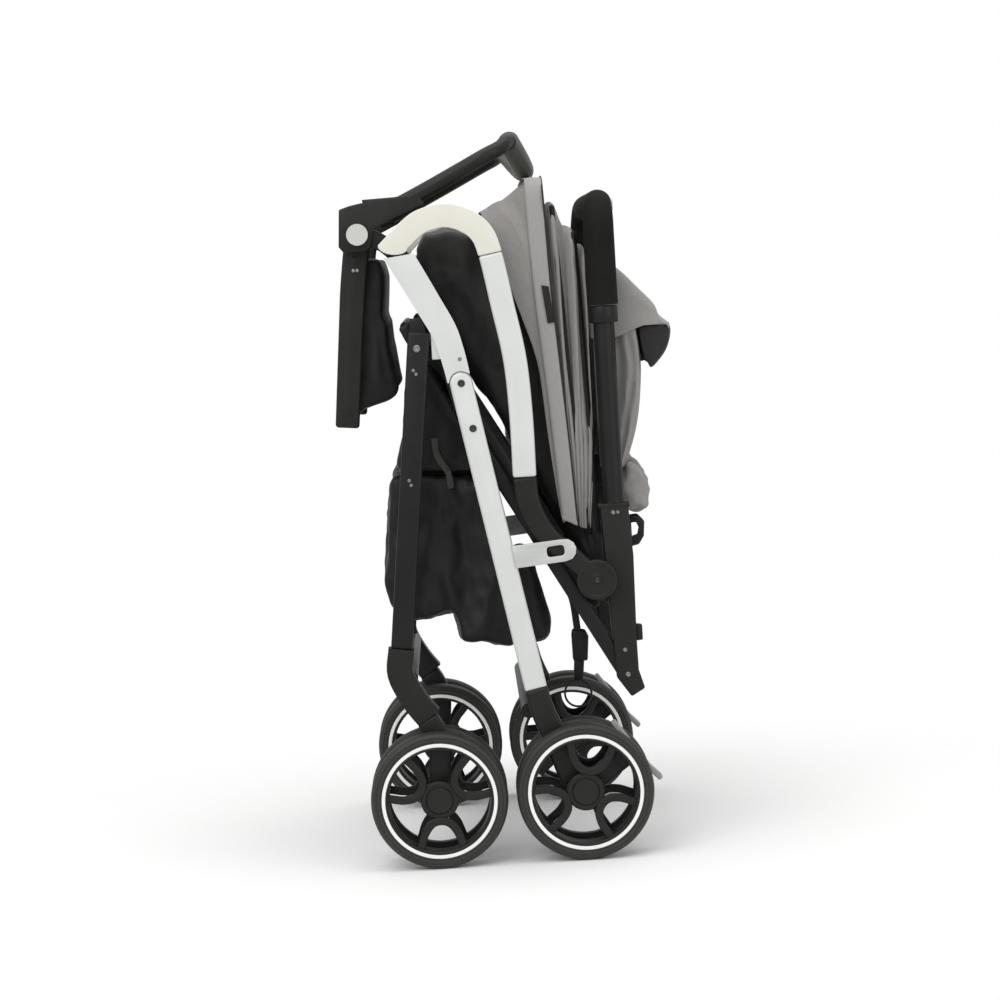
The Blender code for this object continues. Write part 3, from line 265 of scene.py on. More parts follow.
# %% Select, modify and finish a piece
def only(*objects):
    """Selects just these objects, the first one active."""
    if bpy.context.mode != "OBJECT":
        bpy.ops.object.mode_set(mode="OBJECT")
    bpy.ops.object.select_all(action="DESELECT")
    for obj in objects:
        obj.select_set(True)
    bpy.context.view_layer.objects.active = objects[0]


def modify(obj, kind, **settings):
    """Adds a modifier with these settings and applies it."""
    only(obj)
    step = obj.modifiers.new(kind.title(), kind)
    for key, value in settings.items():
        setattr(step, key, value)
    bpy.ops.object.modifier_apply(modifier=step.name)
    return obj


def settle(obj, name, finish, body, nodes=(), angle=32):
    """The last step for a piece: place kept in its mesh, name, finish, smooth faces, body."""
    only(obj)
    bpy.ops.object.transform_apply(location=True, rotation=True, scale=True)
    obj.name = name
    obj.data.name = name
    obj.data.materials.clear()
    obj.data.materials.append(finish)
    bpy.ops.object.shade_smooth_by_angle(angle=math.radians(angle))
    if nodes:
        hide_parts(*nodes)
    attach(obj, body)
    return obj


def joined(*objects):
    """Several meshes as one."""
    only(*objects)
    if len(objects) > 1:
        bpy.ops.object.join()
    return bpy.context.view_layer.objects.active


def copied(obj, change):
    """A copy with its own mesh, moved, turned or mirrored by a matrix."""
    only(obj)
    bpy.ops.object.duplicate()
    twin = bpy.context.object
    twin.data.transform(change)
    if change.determinant() < 0:
        twin.data.flip_normals()
    return twin


# %% Outline, spun profile and tube
def rounded(obj, width, segments, angle):
    """Rounds the edges that are sharper than this angle in degrees."""
    return modify(obj, "BEVEL", width=width, segments=segments, limit_method="ANGLE",
        angle_limit=math.radians(angle))


def finer(obj):
    """One applied level of subdivision."""
    return modify(obj, "SUBSURF", levels=1, render_levels=1)


def edited(obj, *steps):
    """Runs edit-mode steps on the whole of a piece, then turns its faces outwards."""
    only(obj)
    bpy.ops.object.mode_set(mode="EDIT")
    for step in steps:
        bpy.ops.mesh.select_all(action="SELECT")
        step()
    bpy.ops.mesh.select_all(action="SELECT")
    bpy.ops.mesh.normals_make_consistent(inside=False)
    bpy.ops.object.mode_set(mode="OBJECT")
    return obj


def mm(*places):
    """Places given in millimetres, in metres."""
    return [tuple(round(value / 1000, 7) for value in place) for place in places]


def outline_piece(outline, y_near, y_far, rim=0.0, segments=3, angle=40):
    """An outline in XZ made a face, extruded across Y, with its rims rounded."""
    bpy.ops.mesh.primitive_circle_add(vertices=len(outline), fill_type="NGON")
    obj = bpy.context.object
    for corner, (x, z) in zip(obj.data.vertices, outline):
        corner.co = (x, y_near, z)
    edited(obj, lambda: bpy.ops.mesh.extrude_region_move(TRANSFORM_OT_translate={"value": (0,
        y_far - y_near, 0)}))
    return rounded(obj, rim, segments, angle) if rim else obj


def spun(profile, centre=(0, 0, 0), steps=64):
    """A closed ring of (radius, y) corners spun about an axle along Y."""
    bpy.ops.mesh.primitive_circle_add(vertices=len(profile), fill_type="NOTHING")
    obj = bpy.context.object
    for corner, (radius, y) in zip(obj.data.vertices, profile):
        corner.co = (centre[0] + radius, centre[1] + y, centre[2])
    return edited(obj, lambda: bpy.ops.mesh.spin(steps=steps, angle=2 * math.pi, center=centre,
        axis=(0, 1, 0)), lambda: bpy.ops.mesh.remove_doubles(threshold=0.00003),
        lambda: bpy.ops.mesh.dissolve_degenerate(threshold=0.00001),
        lambda: bpy.ops.mesh.delete_loose(use_edges=True, use_verts=True, use_faces=False))


def knob(radius, half, edge, drop, centre, steps=40):
    """A turned disc with both rims chamfered: edge in from the rim, drop down its side."""
    side = [(0, -half), (radius - edge, -half), (radius, -half + drop)]
    return spun(side + [(r, -y) for r, y in reversed(side)], centre, steps)


def tube(points, radius, round_steps=6, along_steps=8, share=None):
    """A round tube on a smooth curve through the points; share scales the radius per point."""
    bpy.ops.curve.primitive_bezier_curve_add()
    obj = bpy.context.object
    spline = obj.data.splines[0]
    spline.bezier_points.add(len(points) - 2)
    for knot, point in zip(spline.bezier_points, points):
        knot.co = point
        knot.handle_left_type = "AUTO"
        knot.handle_right_type = "AUTO"
    for knot, part in zip(spline.bezier_points, share or ()):
        knot.radius = part
    obj.data.resolution_u = along_steps
    obj.data.bevel_depth = radius
    obj.data.bevel_resolution = round_steps
    obj.data.use_fill_caps = True
    only(obj)
    bpy.ops.object.convert(target="MESH")
    return edited(bpy.context.object, lambda: bpy.ops.mesh.remove_doubles(threshold=0.00003))


def about(side, middle, half):
    """The outer and the inner face of a piece on this side of the chair."""
    return side * (middle + half), side * (middle - half)


def cut_away(obj, *cutters):
    """Cuts each cutter out of a piece and deletes the cutters."""
    for cutter in cutters:
        step = obj.modifiers.new("Cut", "BOOLEAN")
        step.object = cutter
        step.solver = "EXACT"
        only(obj)
        bpy.ops.object.modifier_apply(modifier=step.name)
    only(*cutters)
    bpy.ops.object.delete()
    return obj


# %% Paths and outlines in the side view
def smooth_path(points, per_span=8):
    """Catmull-Rom curve through (x, z) points."""
    knots = [Vector(p) for p in points]
    ends = [knots[0] * 2 - knots[1], *knots, knots[-1] * 2 - knots[-2]]
    path = []
    for a, b, c, d in zip(ends, ends[1:], ends[2:], ends[3:]):
        for k in range(per_span):
            t = k / per_span
            path.append(0.5 * (2 * b + (c - a) * t + (2 * a - 5 * b + 4 * c - d) * t ** 2
                + (3 * b - 3 * c + d - a) * t ** 3))
    return path + [knots[-1]]


def ribbon(path, start_width, end_width=None):
    """The outline of a band of this width along a path of (x, z) points."""
    end_width = end_width or start_width
    path = [Vector(p) for p in path]
    near, far = [], []
    for i, point in enumerate(path):
        run = (path[min(i + 1, len(path) - 1)] - path[max(i - 1, 0)]).normalized()
        half = (start_width + (end_width - start_width) * i / (len(path) - 1)) / 2
        near.append(tuple(point + Vector((-run.y, run.x)) * half))
        far.append(tuple(point - Vector((-run.y, run.x)) * half))
    return near + far[::-1]


def clipped(outline, start, end):
    """The part of an outline to the left of the line from start to end."""
    start, end = Vector(start), Vector(end)
    run = end - start

    def side_of(point):
        return run.cross(Vector(point) - start)

    kept = []
    for first, second in zip(outline, outline[1:] + outline[:1]):
        a, b = side_of(first), side_of(second)
        if a >= 0:
            kept.append(first)
        if a * b < 0:
            kept.append(tuple(Vector(first).lerp(Vector(second), a / (a - b))))
    return kept


def ring_points(x, z, radius, steps=20):
    """The corners of a circle in the side view."""
    return [(x + radius * math.cos(math.tau * k / steps),
        z + radius * math.sin(math.tau * k / steps)) for k in range(steps)]


KNUCKLE_DEPTH = 0.009
KNUCKLE_STEPS = 10


def knuckled(outline, start, end):
    """The same outline whose straight end between two places is swollen into a knuckle."""
    start, end = Vector(start), Vector(end)
    first = min(range(len(outline)), key=lambda k: (Vector(outline[k]) - start).length)
    last = min(range(len(outline)), key=lambda k: (Vector(outline[k]) - end).length)
    a, b = Vector(outline[first]), Vector(outline[last])
    out = Vector((b.y - a.y, a.x - b.x)).normalized() * KNUCKLE_DEPTH
    turns = [math.pi * k / KNUCKLE_STEPS for k in range(1, KNUCKLE_STEPS)]
    curve = [tuple(a.lerp(b, (1 - math.cos(t)) / 2) + out * math.sin(t)) for t in turns]
    return outline[first:] + outline[:first] + curve[::-1]


SIDES = ((-1, "left"), (1, "right"))
LEG_Y = 0.206
FRAME_HALF = 0.01

# %% [markdown]
# ## Wheels
# Each corner has two foam tyres on one moulded rim: a rounded tread with a thin line in the
# sidewall, a white ring pressed into the face, three spokes that are arches from rim to rim
# over the hub, and a domed cap. A wheel half is modelled once, facing the camera, and copied.

# %% One tyre, one ring and one rim half, at the origin
WHEEL_R = 0.08
RIM_R = 0.0645
TREAD_SIDE = mm((64.7, -10.3), (69.2, -10.6), (69.9, -11.7), (72.7, -11.9), (73.1, -11.3),
    (73.9, -11.3), (74.4, -11.8), (76.6, -11), (78.3, -9.2), (79.4, -6.4), (79.9, -3.2))
tread = [*TREAD_SIDE, (WHEEL_R, 0.0), *[(r, -y) for r, y in reversed(TREAD_SIDE)]]
tyre_model = spun(tread, steps=96)
ring_model = spun(mm((63.2, -9.5), (63.2, -11.5), (63.7, -11.9), (66.8, -11.9), (67.3, -11.5),
    (67.3, -10)), steps=96)
BARREL = [(RIM_R, 0.01), (RIM_R, -0.01), (0.0632, -0.0104), (0.0612, -0.0112), (0.0598, -0.01),
    (0.059, -0.004), (0.0586, 0.008), (0.06, 0.01)]
HUB_CAP = mm((0, -10.2), (11.8, -10.2), (14.6, -9.6), (16, -8), (16.5, -6), (16.5, 10.8),
    (0, 10.8))
SPOKE_ARCH = mm((-26, 58), (-22.8, 48), (-18.5, 37), (-10.5, 27.2), (0, 24), (10.5, 27.2),
    (18.5, 37), (22.8, 48), (26, 58))
SPOKE_WIDTH = 0.0096
FLANGE = mm((0, -7), (20.5, -7), (22.2, -5.6), (22.2, 1), (0, 1))


def rim_half(first_angle):
    """Barrel, hub cap and three arched spokes with their face toward -Y."""
    bits = [spun(BARREL, steps=72), spun(HUB_CAP, steps=40), spun(FLANGE, steps=40)]
    for k in range(3):
        arch = outline_piece(ribbon(smooth_path(SPOKE_ARCH, 4), SPOKE_WIDTH), -0.0085, -0.0015,
            0.0022, 3)
        turn = math.radians(first_angle - 90) + math.tau * k / 3
        arch.data.transform(Matrix.Rotation(-turn, 4, "Y"))
        bits.append(arch)
    return joined(*bits)


rim_models = {"front": rim_half(-90), "rear": rim_half(80)}
axle_model = spun(mm((0, -24), (5, -24), (5, 24), (0, 24)), steps=20)

# %% Four corners with two wheels each
AXLES = {"front": (-0.107, 0.08), "rear": (0.063, 0.08)}
TYRE_STEP = 0.027
mirror_y = Matrix.Scale(-1, 4, (0, 1, 0))
for end, (axle_x, axle_z) in AXLES.items():
    for side, tag in SIDES:
        body = f"wheels_{end}_{tag}"
        rims, rings = [], []
        for layer, offset in (("outer", 1), ("inner", -1)):
            move = Matrix.Translation((axle_x, side * (LEG_Y + offset * TYRE_STEP), axle_z))
            change = move @ (mirror_y if side * offset > 0 else Matrix())
            settle(copied(tyre_model, change), f"tread_{end}_{tag}_{layer}", tyre_foam, body,
                [f"tyre_{end}_{tag}_{layer}"])
            rims.append(copied(rim_models[end], change))
            rings.append(copied(ring_model, change))
        rims.append(copied(axle_model, Matrix.Translation((axle_x, side * LEG_Y, axle_z))))
        settle(joined(*rims), f"spoked_{body}", black_shell, body, [f"rim_{end}_{tag}"])
        settle(joined(*rings), f"ring_{body}", white_ring, body)
only(tyre_model, ring_model, axle_model, *rim_models.values())
bpy.ops.object.delete()
print("wheels: 8 tyres on 4 rims")

# %% [markdown]
# ## Frame tubes
# The legs and armrests are flattened tubes, 20 mm through. A tube that stays in one plane is
# drawn in the side view as a band along its path and given a broad, smooth rim, so that it
# catches one long highlight as the real, rolled section does. Each side is made by one loop.

# %% Front legs, their caps and the moulded feet
FRONT_LEG = ((-0.0984, 0.6225), (-0.1407, 0.255))
FRONT_FOOT = mm((-141.3, 256), (-144, 227), (-129, 195), (-110, 169))
LEG_CAP = mm((-105, 639.2), (-94, 639.2), (-91.5, 633), (-90, 619), (-110, 619), (-108.5, 635))
SWIVEL = Vector((-0.1165, 0.172))
SWIVEL_RUN = Vector((0.5598, -0.8287))
for side, tag in SIDES:
    near, far = about(side, LEG_Y, FRAME_HALF)
    leg = outline_piece(ribbon(FRONT_LEG, 0.0253), near, far, 0.0032, 4)
    cap = outline_piece(LEG_CAP, near - side * 0.0022, far, 0.0018, 3)
    boss = spun(mm((0, -7), (9, -7), (10, -6), (10, 7), (0, 7)), (-0.101, side * 0.1905, 0.6035),
        28)
    settle(joined(leg, cap, boss), f"black_leg_{tag}", black_paint, "front_frame",
        [f"front_leg_{tag}"])
    foot_path = smooth_path(FRONT_FOOT, 6)
    across = Vector((-SWIVEL_RUN.y, SWIVEL_RUN.x))
    foot_outline = clipped(ribbon(foot_path, 0.03), SWIVEL - across * 0.05, SWIVEL + across * 0.05)
    foot = outline_piece(foot_outline, *about(side, LEG_Y, 0.0128), 0.0065, 5)
    settle(foot, f"front_shoe_{tag}", black_shell, "front_frame", [f"front_foot_{tag}"])

# %% Rear legs, lock plates and the moulded rear feet
FOLD_PIVOT = Vector((-0.0533, 0.5612))
FOLD_ANGLE = math.radians(55.6)
LEG_HALF = 0.0131
leg_end = Vector((0.013, 0.199))
leg_run = (leg_end - FOLD_PIVOT).normalized()
leg_across = Vector((-leg_run.y, leg_run.x))
LEG_OUTLINE = [tuple(leg_end - leg_across * LEG_HALF), tuple(leg_end + leg_across * LEG_HALF)]
LEG_OUTLINE += [tuple(FOLD_PIVOT + (leg_across * math.cos(math.pi * k / 14) - leg_run
    * math.sin(math.pi * k / 14)) * LEG_HALF) for k in range(15)]
REAR_FOOT = mm((12.6, 201), (19, 174), (33, 138), (51, 88))
LOCK_PLATE = mm((-2, 342.7), (56, 347.5), (64, 350), (68.2, 356), (68.8, 363), (66, 369),
    (60, 373), (52, 373.3), (-6, 368.8))
for side, tag in SIDES:
    near, far = about(side, LEG_Y, FRAME_HALF)
    leg = outline_piece(LEG_OUTLINE, near, far, 0.0036, 4)
    settle(leg, f"silver_leg_{tag}", silver_paint, "rear_frame", [f"rear_leg_{tag}"])
    lock = outline_piece(LOCK_PLATE, near + side * 0.0022, near - side * 0.003, 0.0)
    slot = outline_piece(ribbon(((0.0345, 0.3592), (0.0395, 0.3596), (0.05, 0.3606),
        (0.055, 0.361)), 0.0125), near + side * 0.01, near - side * 0.01, 0.004, 3)
    cut_away(lock, slot)
    rounded(lock, 0.0006, 2, 40)
    settle(lock, f"lock_strap_{tag}", plate_metal, "rear_frame")
    shoe = outline_piece(ribbon(smooth_path(REAR_FOOT, 6), 0.0268, 0.03),
        *about(side, LEG_Y, 0.0123), 0.0052, 5)
    hub = knob(0.017, 0.0123, 0.002, 0.0018, (0.063, side * LEG_Y, 0.08), 40)
    arm = outline_piece(ribbon(((0.063, 0.08), (0.11096, 0.11381)), 0.0236),
        *about(side, LEG_Y, 0.0118), 0.003, 3)
    eye = knob(0.0119, 0.012, 0.0019, 0.0018, (0.11096, side * LEG_Y, 0.11381), 32)
    settle(joined(shoe, hub, arm, eye), f"rear_shoe_{tag}", black_shell, "rear_frame",
        [f"rear_foot_{tag}"])

# %% [markdown]
# The silver housing carries the front end of the armrest. The arch above it is a separate
# cream moulding, and a fine dark seam shows where they meet, as does a second seam where the
# arch gives way to the straight silver tube. A seam is a real gap here: each band is clipped
# by a line, and the two clipped ends stand half a millimetre apart.

# %% Side housings, arches, arm tubes and hinge ends
HOUSING = mm((-133, 742), (-106, 693), (-86, 655), (-70, 624), (-63, 602), (-58, 580), (-55, 562))
ARCH = mm((-140.5, 705.2), (-101.5, 741.5), (-82, 752), (-60, 755), (-38.5, 748.5), (-20.5, 734),
    (-11, 709), (0, 648), (10.5, 586), (14, 520), (14, 448))
SEAM = (Vector((-0.1391, 0.7246)), Vector((-0.1045, 0.7191)))
TUBE_SEAM = (Vector((-0.026, 0.7055)), Vector((0.006, 0.711)))
ARM_END = mm((14, 447.8), (16, 422), (24, 398), (39, 374), (62, 353), (85, 329))
HINGE_DISC = (0.091, 0.323)
half_gap = Vector((0, 0.0003))
arch_band = ribbon(smooth_path(ARCH, 10), 0.0275)
for side, tag in SIDES:
    near, far = about(side, LEG_Y, FRAME_HALF)
    shell_outline = clipped(ribbon(smooth_path(HOUSING, 6), 0.033, 0.0272), (-0.1045, 0.713),
        (-0.1391, 0.709))
    shell_outline = clipped(shell_outline, (-0.076, 0.5612), (-0.0365, 0.5652))
    shell = outline_piece(shell_outline, near, far)
    sweep = []
    for k in range(5):
        run = Matrix.Rotation(FOLD_ANGLE * k / 4, 2) @ leg_run
        sweep.append(outline_piece(ribbon((FOLD_PIVOT, FOLD_PIVOT + run * 0.06), 0.0274),
            near * 1.02, far * 0.98))
    sweep.append(outline_piece(ring_points(*FOLD_PIVOT, 0.0137, 40), near * 1.02, far * 0.98))
    cut_away(shell, *sweep)
    rounded(shell, 0.0026, 4, 45)
    tab = outline_piece(mm((-85, 590), (-64, 590), (-64, 626), (-85, 626)), near - side * 0.004,
        far, 0.0012, 2)
    settle(joined(shell, tab), f"housing_shell_{tag}", silver_paint, "front_frame",
        [f"side_housing_{tag}"])
    upper = clipped(clipped(arch_band, SEAM[0] + half_gap, SEAM[1] + half_gap),
        TUBE_SEAM[0] + half_gap, TUBE_SEAM[1] + half_gap)
    upper = knuckled(upper, SEAM[0], SEAM[1])
    arch = outline_piece(upper, near, far, 0.0052, 6)
    settle(arch, f"arch_{tag}", cream_shell, "armrests", [f"arm_tube_{tag}"])
    lower_path = [p for p in smooth_path(ARCH, 10) if p.y < 0.722 and p.x > -0.03]
    straight = clipped(ribbon(lower_path, 0.0272), TUBE_SEAM[1] - half_gap,
        TUBE_SEAM[0] - half_gap)
    settle(outline_piece(straight, near - side * 0.0002, far + side * 0.0002, 0.0046, 5),
        f"arm_bar_{tag}", silver_paint, "armrests")
    end = outline_piece(ribbon(smooth_path(ARM_END, 6), 0.0275, 0.022), near - side * 0.0013,
        far + side * 0.0004, 0.0034, 4)
    disc = spun(mm((0, -9), (6, -9), (7, -8.2), (18, -8.2), (19, -9), (22.2, -8.8), (23.5, -7.4),
        (23.5, 9), (0, 9)), (0, 0, 0), 56)
    disc.data.transform(Matrix.Translation((HINGE_DISC[0], side * LEG_Y, HINGE_DISC[1]))
        @ (mirror_y if side > 0 else Matrix()))
    if side > 0:
        disc.data.flip_normals()
    settle(joined(end, disc), f"arm_hinge_{tag}", black_shell, "armrests", [f"arm_end_{tag}"])

# %% [markdown]
# ## Bumper bar, legrest arms and handle
# These are black mouldings and painted tubes. The bumper's arms taper out of broad bases round
# the hinge button, and its grip bends away across the chair. The handle has one foam grip over
# two round tubes, with a moulded collar where the foam ends.

# %% Bumper bar and legrest arms
BUMPER_BASE = mm((-182.5, 769), (-170, 772.8), (-158, 775), (-135.2, 777.5), (-97, 779),
    (-95, 764.3), (-118, 756), (-144, 744), (-148, 724), (-156, 719), (-180, 719), (-185.4, 726))
GRIP_HALF = 0.148
bumper_end = Vector((0.0192, 0, 0.838))
bumper_middle = Vector((0.0386, 0, 0.807))
grip_line = []
for k in range(17):
    across = -1 + k / 8
    bow = bumper_end.lerp(bumper_middle, 1 - across ** 2)
    grip_line.append((bow.x, across * GRIP_HALF, bow.z))
LEGREST_ARM = mm((-163, 739), (-172, 680), (-177.5, 630), (-189, 515))
for side, tag in SIDES:
    base = outline_piece(BUMPER_BASE, side * 0.1957, side * 0.191, 0.0016, 3, 50)
    collar = outline_piece(mm((-156, 779), (-118, 780), (-90, 783), (-83, 769), (-112, 760),
        (-144, 752)), side * 0.1955, side * 0.188, 0.0022, 3, 50)
    end = Vector(grip_line[0] if side < 0 else grip_line[-1])
    arm = tube([(-0.129, side * 0.187, 0.764), (-0.09, side * 0.187, 0.782),
        (-0.04, side * 0.1868, 0.8065), (-0.008, side * 0.185, 0.8225),
        (0.008, side * 0.176, 0.83), (end.x - 0.003, side * 0.16, end.z - 0.001),
        (end.x, side * (GRIP_HALF + 0.001), end.z)], 0.0088, 8, 10)
    settle(joined(base, collar, arm), f"bumper_rod_{tag}", black_shell, "bumper",
        [f"bumper_arm_{tag}"])
    leg_arm = outline_piece(ribbon(smooth_path(LEGREST_ARM, 8), 0.0308, 0.028), side * 0.1759,
        side * 0.1632, 0.0038, 4)
    rib = outline_piece(ribbon(smooth_path(mm((-166.8, 715), (-172.5, 680), (-177.8, 630),
        (-187.8, 527)), 6), 0.012), side * 0.1762, side * 0.174, 0.0006, 2)
    boss = spun(mm((0, -6.2), (15, -6.2), (16.5, -5), (16.5, 6.2), (0, 6.2)),
        (-0.163, side * 0.1696, 0.739), 40)
    settle(joined(leg_arm, rib, boss), f"legrest_bar_{tag}", black_shell, "legrest",
        [f"legrest_arm_{tag}"])
grip = tube(grip_line, 0.0125, 10, 4)
# The grip's lifted, olive colour is a painted highlight over its own dark colour.
settle(grip, "bumper_sleeve", bumper_skin_and_highlight, "bumper", ["bumper_grip"])

# %% Handle: brackets, tubes and collars, foam grip
BRACKET = mm((100, 408.5), (103, 409.5), (130, 409.5), (133.2, 408), (136.1, 346.7),
    (134.5, 248.5), (135, 212.3), (141.3, 190.6), (125, 181.2), (109.3, 204.2), (104.4, 298.2))
HANDLE_X = 0.117
BRACKET_Y = 0.1835
GRIP_TOP = 0.76
GRIP_BEND = 0.03
for side, tag in SIDES:
    bracket = outline_piece(BRACKET, side * 0.1945, side * 0.1725, 0.0022, 3, 45)
    lug = knob(0.018, 0.0106, 0.0015, 0.0016, (HINGE_DISC[0], side * BRACKET_Y, HINGE_DISC[1]), 44)
    band = outline_piece(mm((98, 410), (135, 410), (135.2, 404.5), (98.2, 404.5)), side * 0.1953,
        side * 0.1718, 0.0012, 2)
    notch = outline_piece(mm((134.5, 246.2), (142, 247), (142, 265), (134.5, 266.2)), side * 0.189,
        side * 0.179, 0.0012, 2)
    settle(joined(bracket, lug, band, notch), f"bracket_shell_{tag}", black_shell, "handle",
        [f"handle_bracket_{tag}"])
    post = tube([(HANDLE_X, side * BRACKET_Y, 0.4098), (HANDLE_X, side * BRACKET_Y, 0.52),
        (HANDLE_X, side * BRACKET_Y, 0.64)], 0.0124, 10, 4)
    sleeve = outline_piece(ring_points(0, 0, 0.017, 40), 0.0, 0.02, 0.0016, 3)
    sleeve.data.transform(Matrix.Translation((HANDLE_X, side * BRACKET_Y, 0.6205))
        @ Matrix.Rotation(math.radians(90), 4, "X"))
    settle(joined(post, sleeve), f"handle_post_{tag}", black_paint, "handle",
        [f"handle_tube_{tag}"])
grip_corner = []
for k in range(7):
    turn = math.radians(15 * k)
    grip_corner.append((BRACKET_Y - GRIP_BEND + GRIP_BEND * math.cos(turn),
        GRIP_TOP - GRIP_BEND + GRIP_BEND * math.sin(turn)))
grip_half = [(BRACKET_Y, 0.6415), (BRACKET_Y, 0.68), (BRACKET_Y, 0.708), *grip_corner]
grip_share = [1.0, 1.0, 1.0] + [1.0 - 0.12 * k / 6 for k in range(7)]
slip = [0.0, 0.0, 0.0] + [0.0022 * k / 6 for k in range(7)]
grip_line = [(HANDLE_X + dx, -y, z) for (y, z), dx in zip(grip_half, slip)]
grip_line += [(HANDLE_X + 0.0022, 0, GRIP_TOP)]
grip_line += [(HANDLE_X + dx, y, z) for (y, z), dx in zip(grip_half[::-1], slip[::-1])]
foam = tube(grip_line, 0.018, 12, 6, grip_share + [0.88] + grip_share[::-1])
settle(foam, "handle_foam", grip_foam, "handle", ["handle_grip"])

# %% [markdown]
# ## Seat tubes, swivel forks and the folding strap
# The seat tube leaves the front hinge behind the silver housing, so that no second line shows
# beside it, and then runs straight down to the rear pivot. The swivel fork carries the curve of
# the moulded foot on to the axle. The strap ends in a moulded pull that hangs behind the disc.

# %% Seat tubes, forks and strap
SEAT_PATH = mm((-162, 738.5), (-140, 731), (-120, 714), (-105, 689), (-88, 656), (-76, 620),
    (-64, 570), (-42, 500), (12, 400.4), (68, 299.8), (120, 206.4))
FORK_PATH = mm((-116.5, 172), (-107.5, 156), (-103, 135), (-105, 108), (-107, 80))
for side, tag in SIDES:
    bar = outline_piece(ribbon(smooth_path(SEAT_PATH, 8), 0.02, 0.0165), side * 0.1903,
        side * 0.1767, 0.003, 4)
    lug = outline_piece(ribbon(smooth_path(mm((-116.5, 631), (-106, 612), (-96, 601), (-79, 595)),
        4), 0.013, 0.019), side * 0.19, side * 0.177, 0.003, 3)
    settle(joined(bar, lug), f"seat_bar_{tag}", black_paint, "seat_frame", [f"seat_tube_{tag}"])
    fork = outline_piece(ribbon(smooth_path(FORK_PATH, 6), 0.0262, 0.0255),
        *about(side, LEG_Y, 0.0124), 0.0048, 4)
    boss = knob(0.0168, 0.0124, 0.0018, 0.0018, (-0.107, side * LEG_Y, 0.08), 40)
    settle(joined(fork, boss), f"swivel_fork_{tag}", black_shell, f"caster_{tag}",
        [f"caster_{tag}"])
settle(tube([(-0.1156, -0.1765, 0.6297), (-0.1156, 0, 0.6297), (-0.1156, 0.1765, 0.6297)], 0.0048),
    "seat_front_rod", black_paint, "seat_frame", ["seat_cross_tube_1"])
STRAP_Y = -0.1
strap_band = outline_piece(ribbon(smooth_path(mm((60, 305), (65.5, 286), (68, 262), (69, 248)), 5),
    0.0082), STRAP_Y - 0.007, STRAP_Y + 0.007, 0.0006, 2)
pull = outline_piece(mm((62.5, 254), (78, 252.5), (81.5, 245), (79, 215.5), (61.5, 216),
    (61.2, 247)), STRAP_Y - 0.0085, STRAP_Y + 0.0085, 0.0024, 3)
settle(joined(strap_band, pull), "fold_pull", black_shell, "seat_frame", ["fold_strap"])
tail = outline_piece(mm((63, 218.5), (75, 218.5), (72.5, 193), (65, 190.5), (61, 193)),
    STRAP_Y - 0.006, STRAP_Y + 0.006, 0.0012, 2)
loop = [(0.0655 + 0.016 * math.cos(math.tau * k / 16), STRAP_Y,
    0.176 + 0.016 * math.sin(math.tau * k / 16)) for k in range(17)]
settle(joined(tail, tube(loop, 0.0013, 4, 4)), "strap_ring", black_paint, "seat_frame")

# %% [markdown]
# ## CAD nodes that keep their shape
# Cross tubes, canopy bows, pedals and buttons are right as they are, so they only get a better
# finish in their own material slots.

# %% Finishes on the carried-over nodes
KEPT = {black_paint: ("rear_cross_tube", "front_cross_tube", "seat_cross_tube_2", "back_rod",
    "canopy_bow_front", "canopy_bow_middle", "canopy_bow_rear"),
    grey_shell: ("hinge_button_left", "hinge_button_right", "release_button"),
    pedal_shell: ("brake_pedal_left", "brake_pedal_right")}
for finish, names in KEPT.items():
    for name in names:
        for material_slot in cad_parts[name].material_slots:
            material_slot.material = finish

# %% [markdown]
# ## Screws and rivets
# Bright screw heads catch the eye in the picture, so each one is a small domed head with a
# cross recess modelled as a shallow dimple ring. One head is spun and copied to every place.

# %% Screw heads
SCREW = mm((0, -0.4), (0.8, -0.6), (1.2, -1), (1.9, -1), (2.4, -0.6), (2.6, 0), (2.6, 0.8),
    (0, 0.8))
screw_model = spun(SCREW, steps=20)
SCREWS = {"front_frame": [(-0.102, 0.604, 0.216, 1.7), (-0.1075, 0.579, 0.216, 0.8),
    (-0.1045, 0.5745, 0.216, 0.8), (-0.12, 0.452, 0.216, 0.8), (-0.118, 0.4465, 0.216, 0.8),
    (-0.053, 0.589, 0.216, 0.9)], "rear_frame": [(-0.053, 0.561, 0.216, 1.7),
    (-0.0425, 0.508, 0.216, 1.7)], "armrests": [(0.091, 0.323, 0.2152, 1.3)],
    "handle": [(0.115, 0.399, 0.1945, 1.0), (0.1205, 0.399, 0.1945, 0.8),
    (0.12, 0.237, 0.1945, 1.0), (0.122, 0.208, 0.1945, 1.2)],
    "legrest": [(-0.1705, 0.698, 0.1762, 0.8), (-0.166, 0.698, 0.1762, 0.8)]}
HEAD_FINISH = {"rear_frame": dark_steel, "armrests": dark_steel, "front_frame": worn_steel,
    "handle": worn_steel, "legrest": bright_steel}
for body, places in SCREWS.items():
    heads = []
    for side, tag in SIDES:
        for x, z, y, scale in places:
            change = (Matrix.Translation((x, side * y, z)) @ Matrix.Scale(scale, 4)
                @ (mirror_y if side > 0 else Matrix()))
            heads.append(copied(screw_model, change))
    settle(joined(*heads), f"screws_{body}", HEAD_FINISH[body], body)
only(screw_model)
bpy.ops.object.delete()

# %% [markdown]
# ## Seat, back and legrest pads
# A cushion is not a rounded box: its faces crown and its edges draw in. Each pad starts as a
# slightly small outline, is rebuilt as an even grid of small faces, and is then filled with air
# by a short cloth simulation without gravity. How far a point may move is capped, so the pad
# stays in the space that the frame leaves for it. Folds are pressed in afterwards by noise.

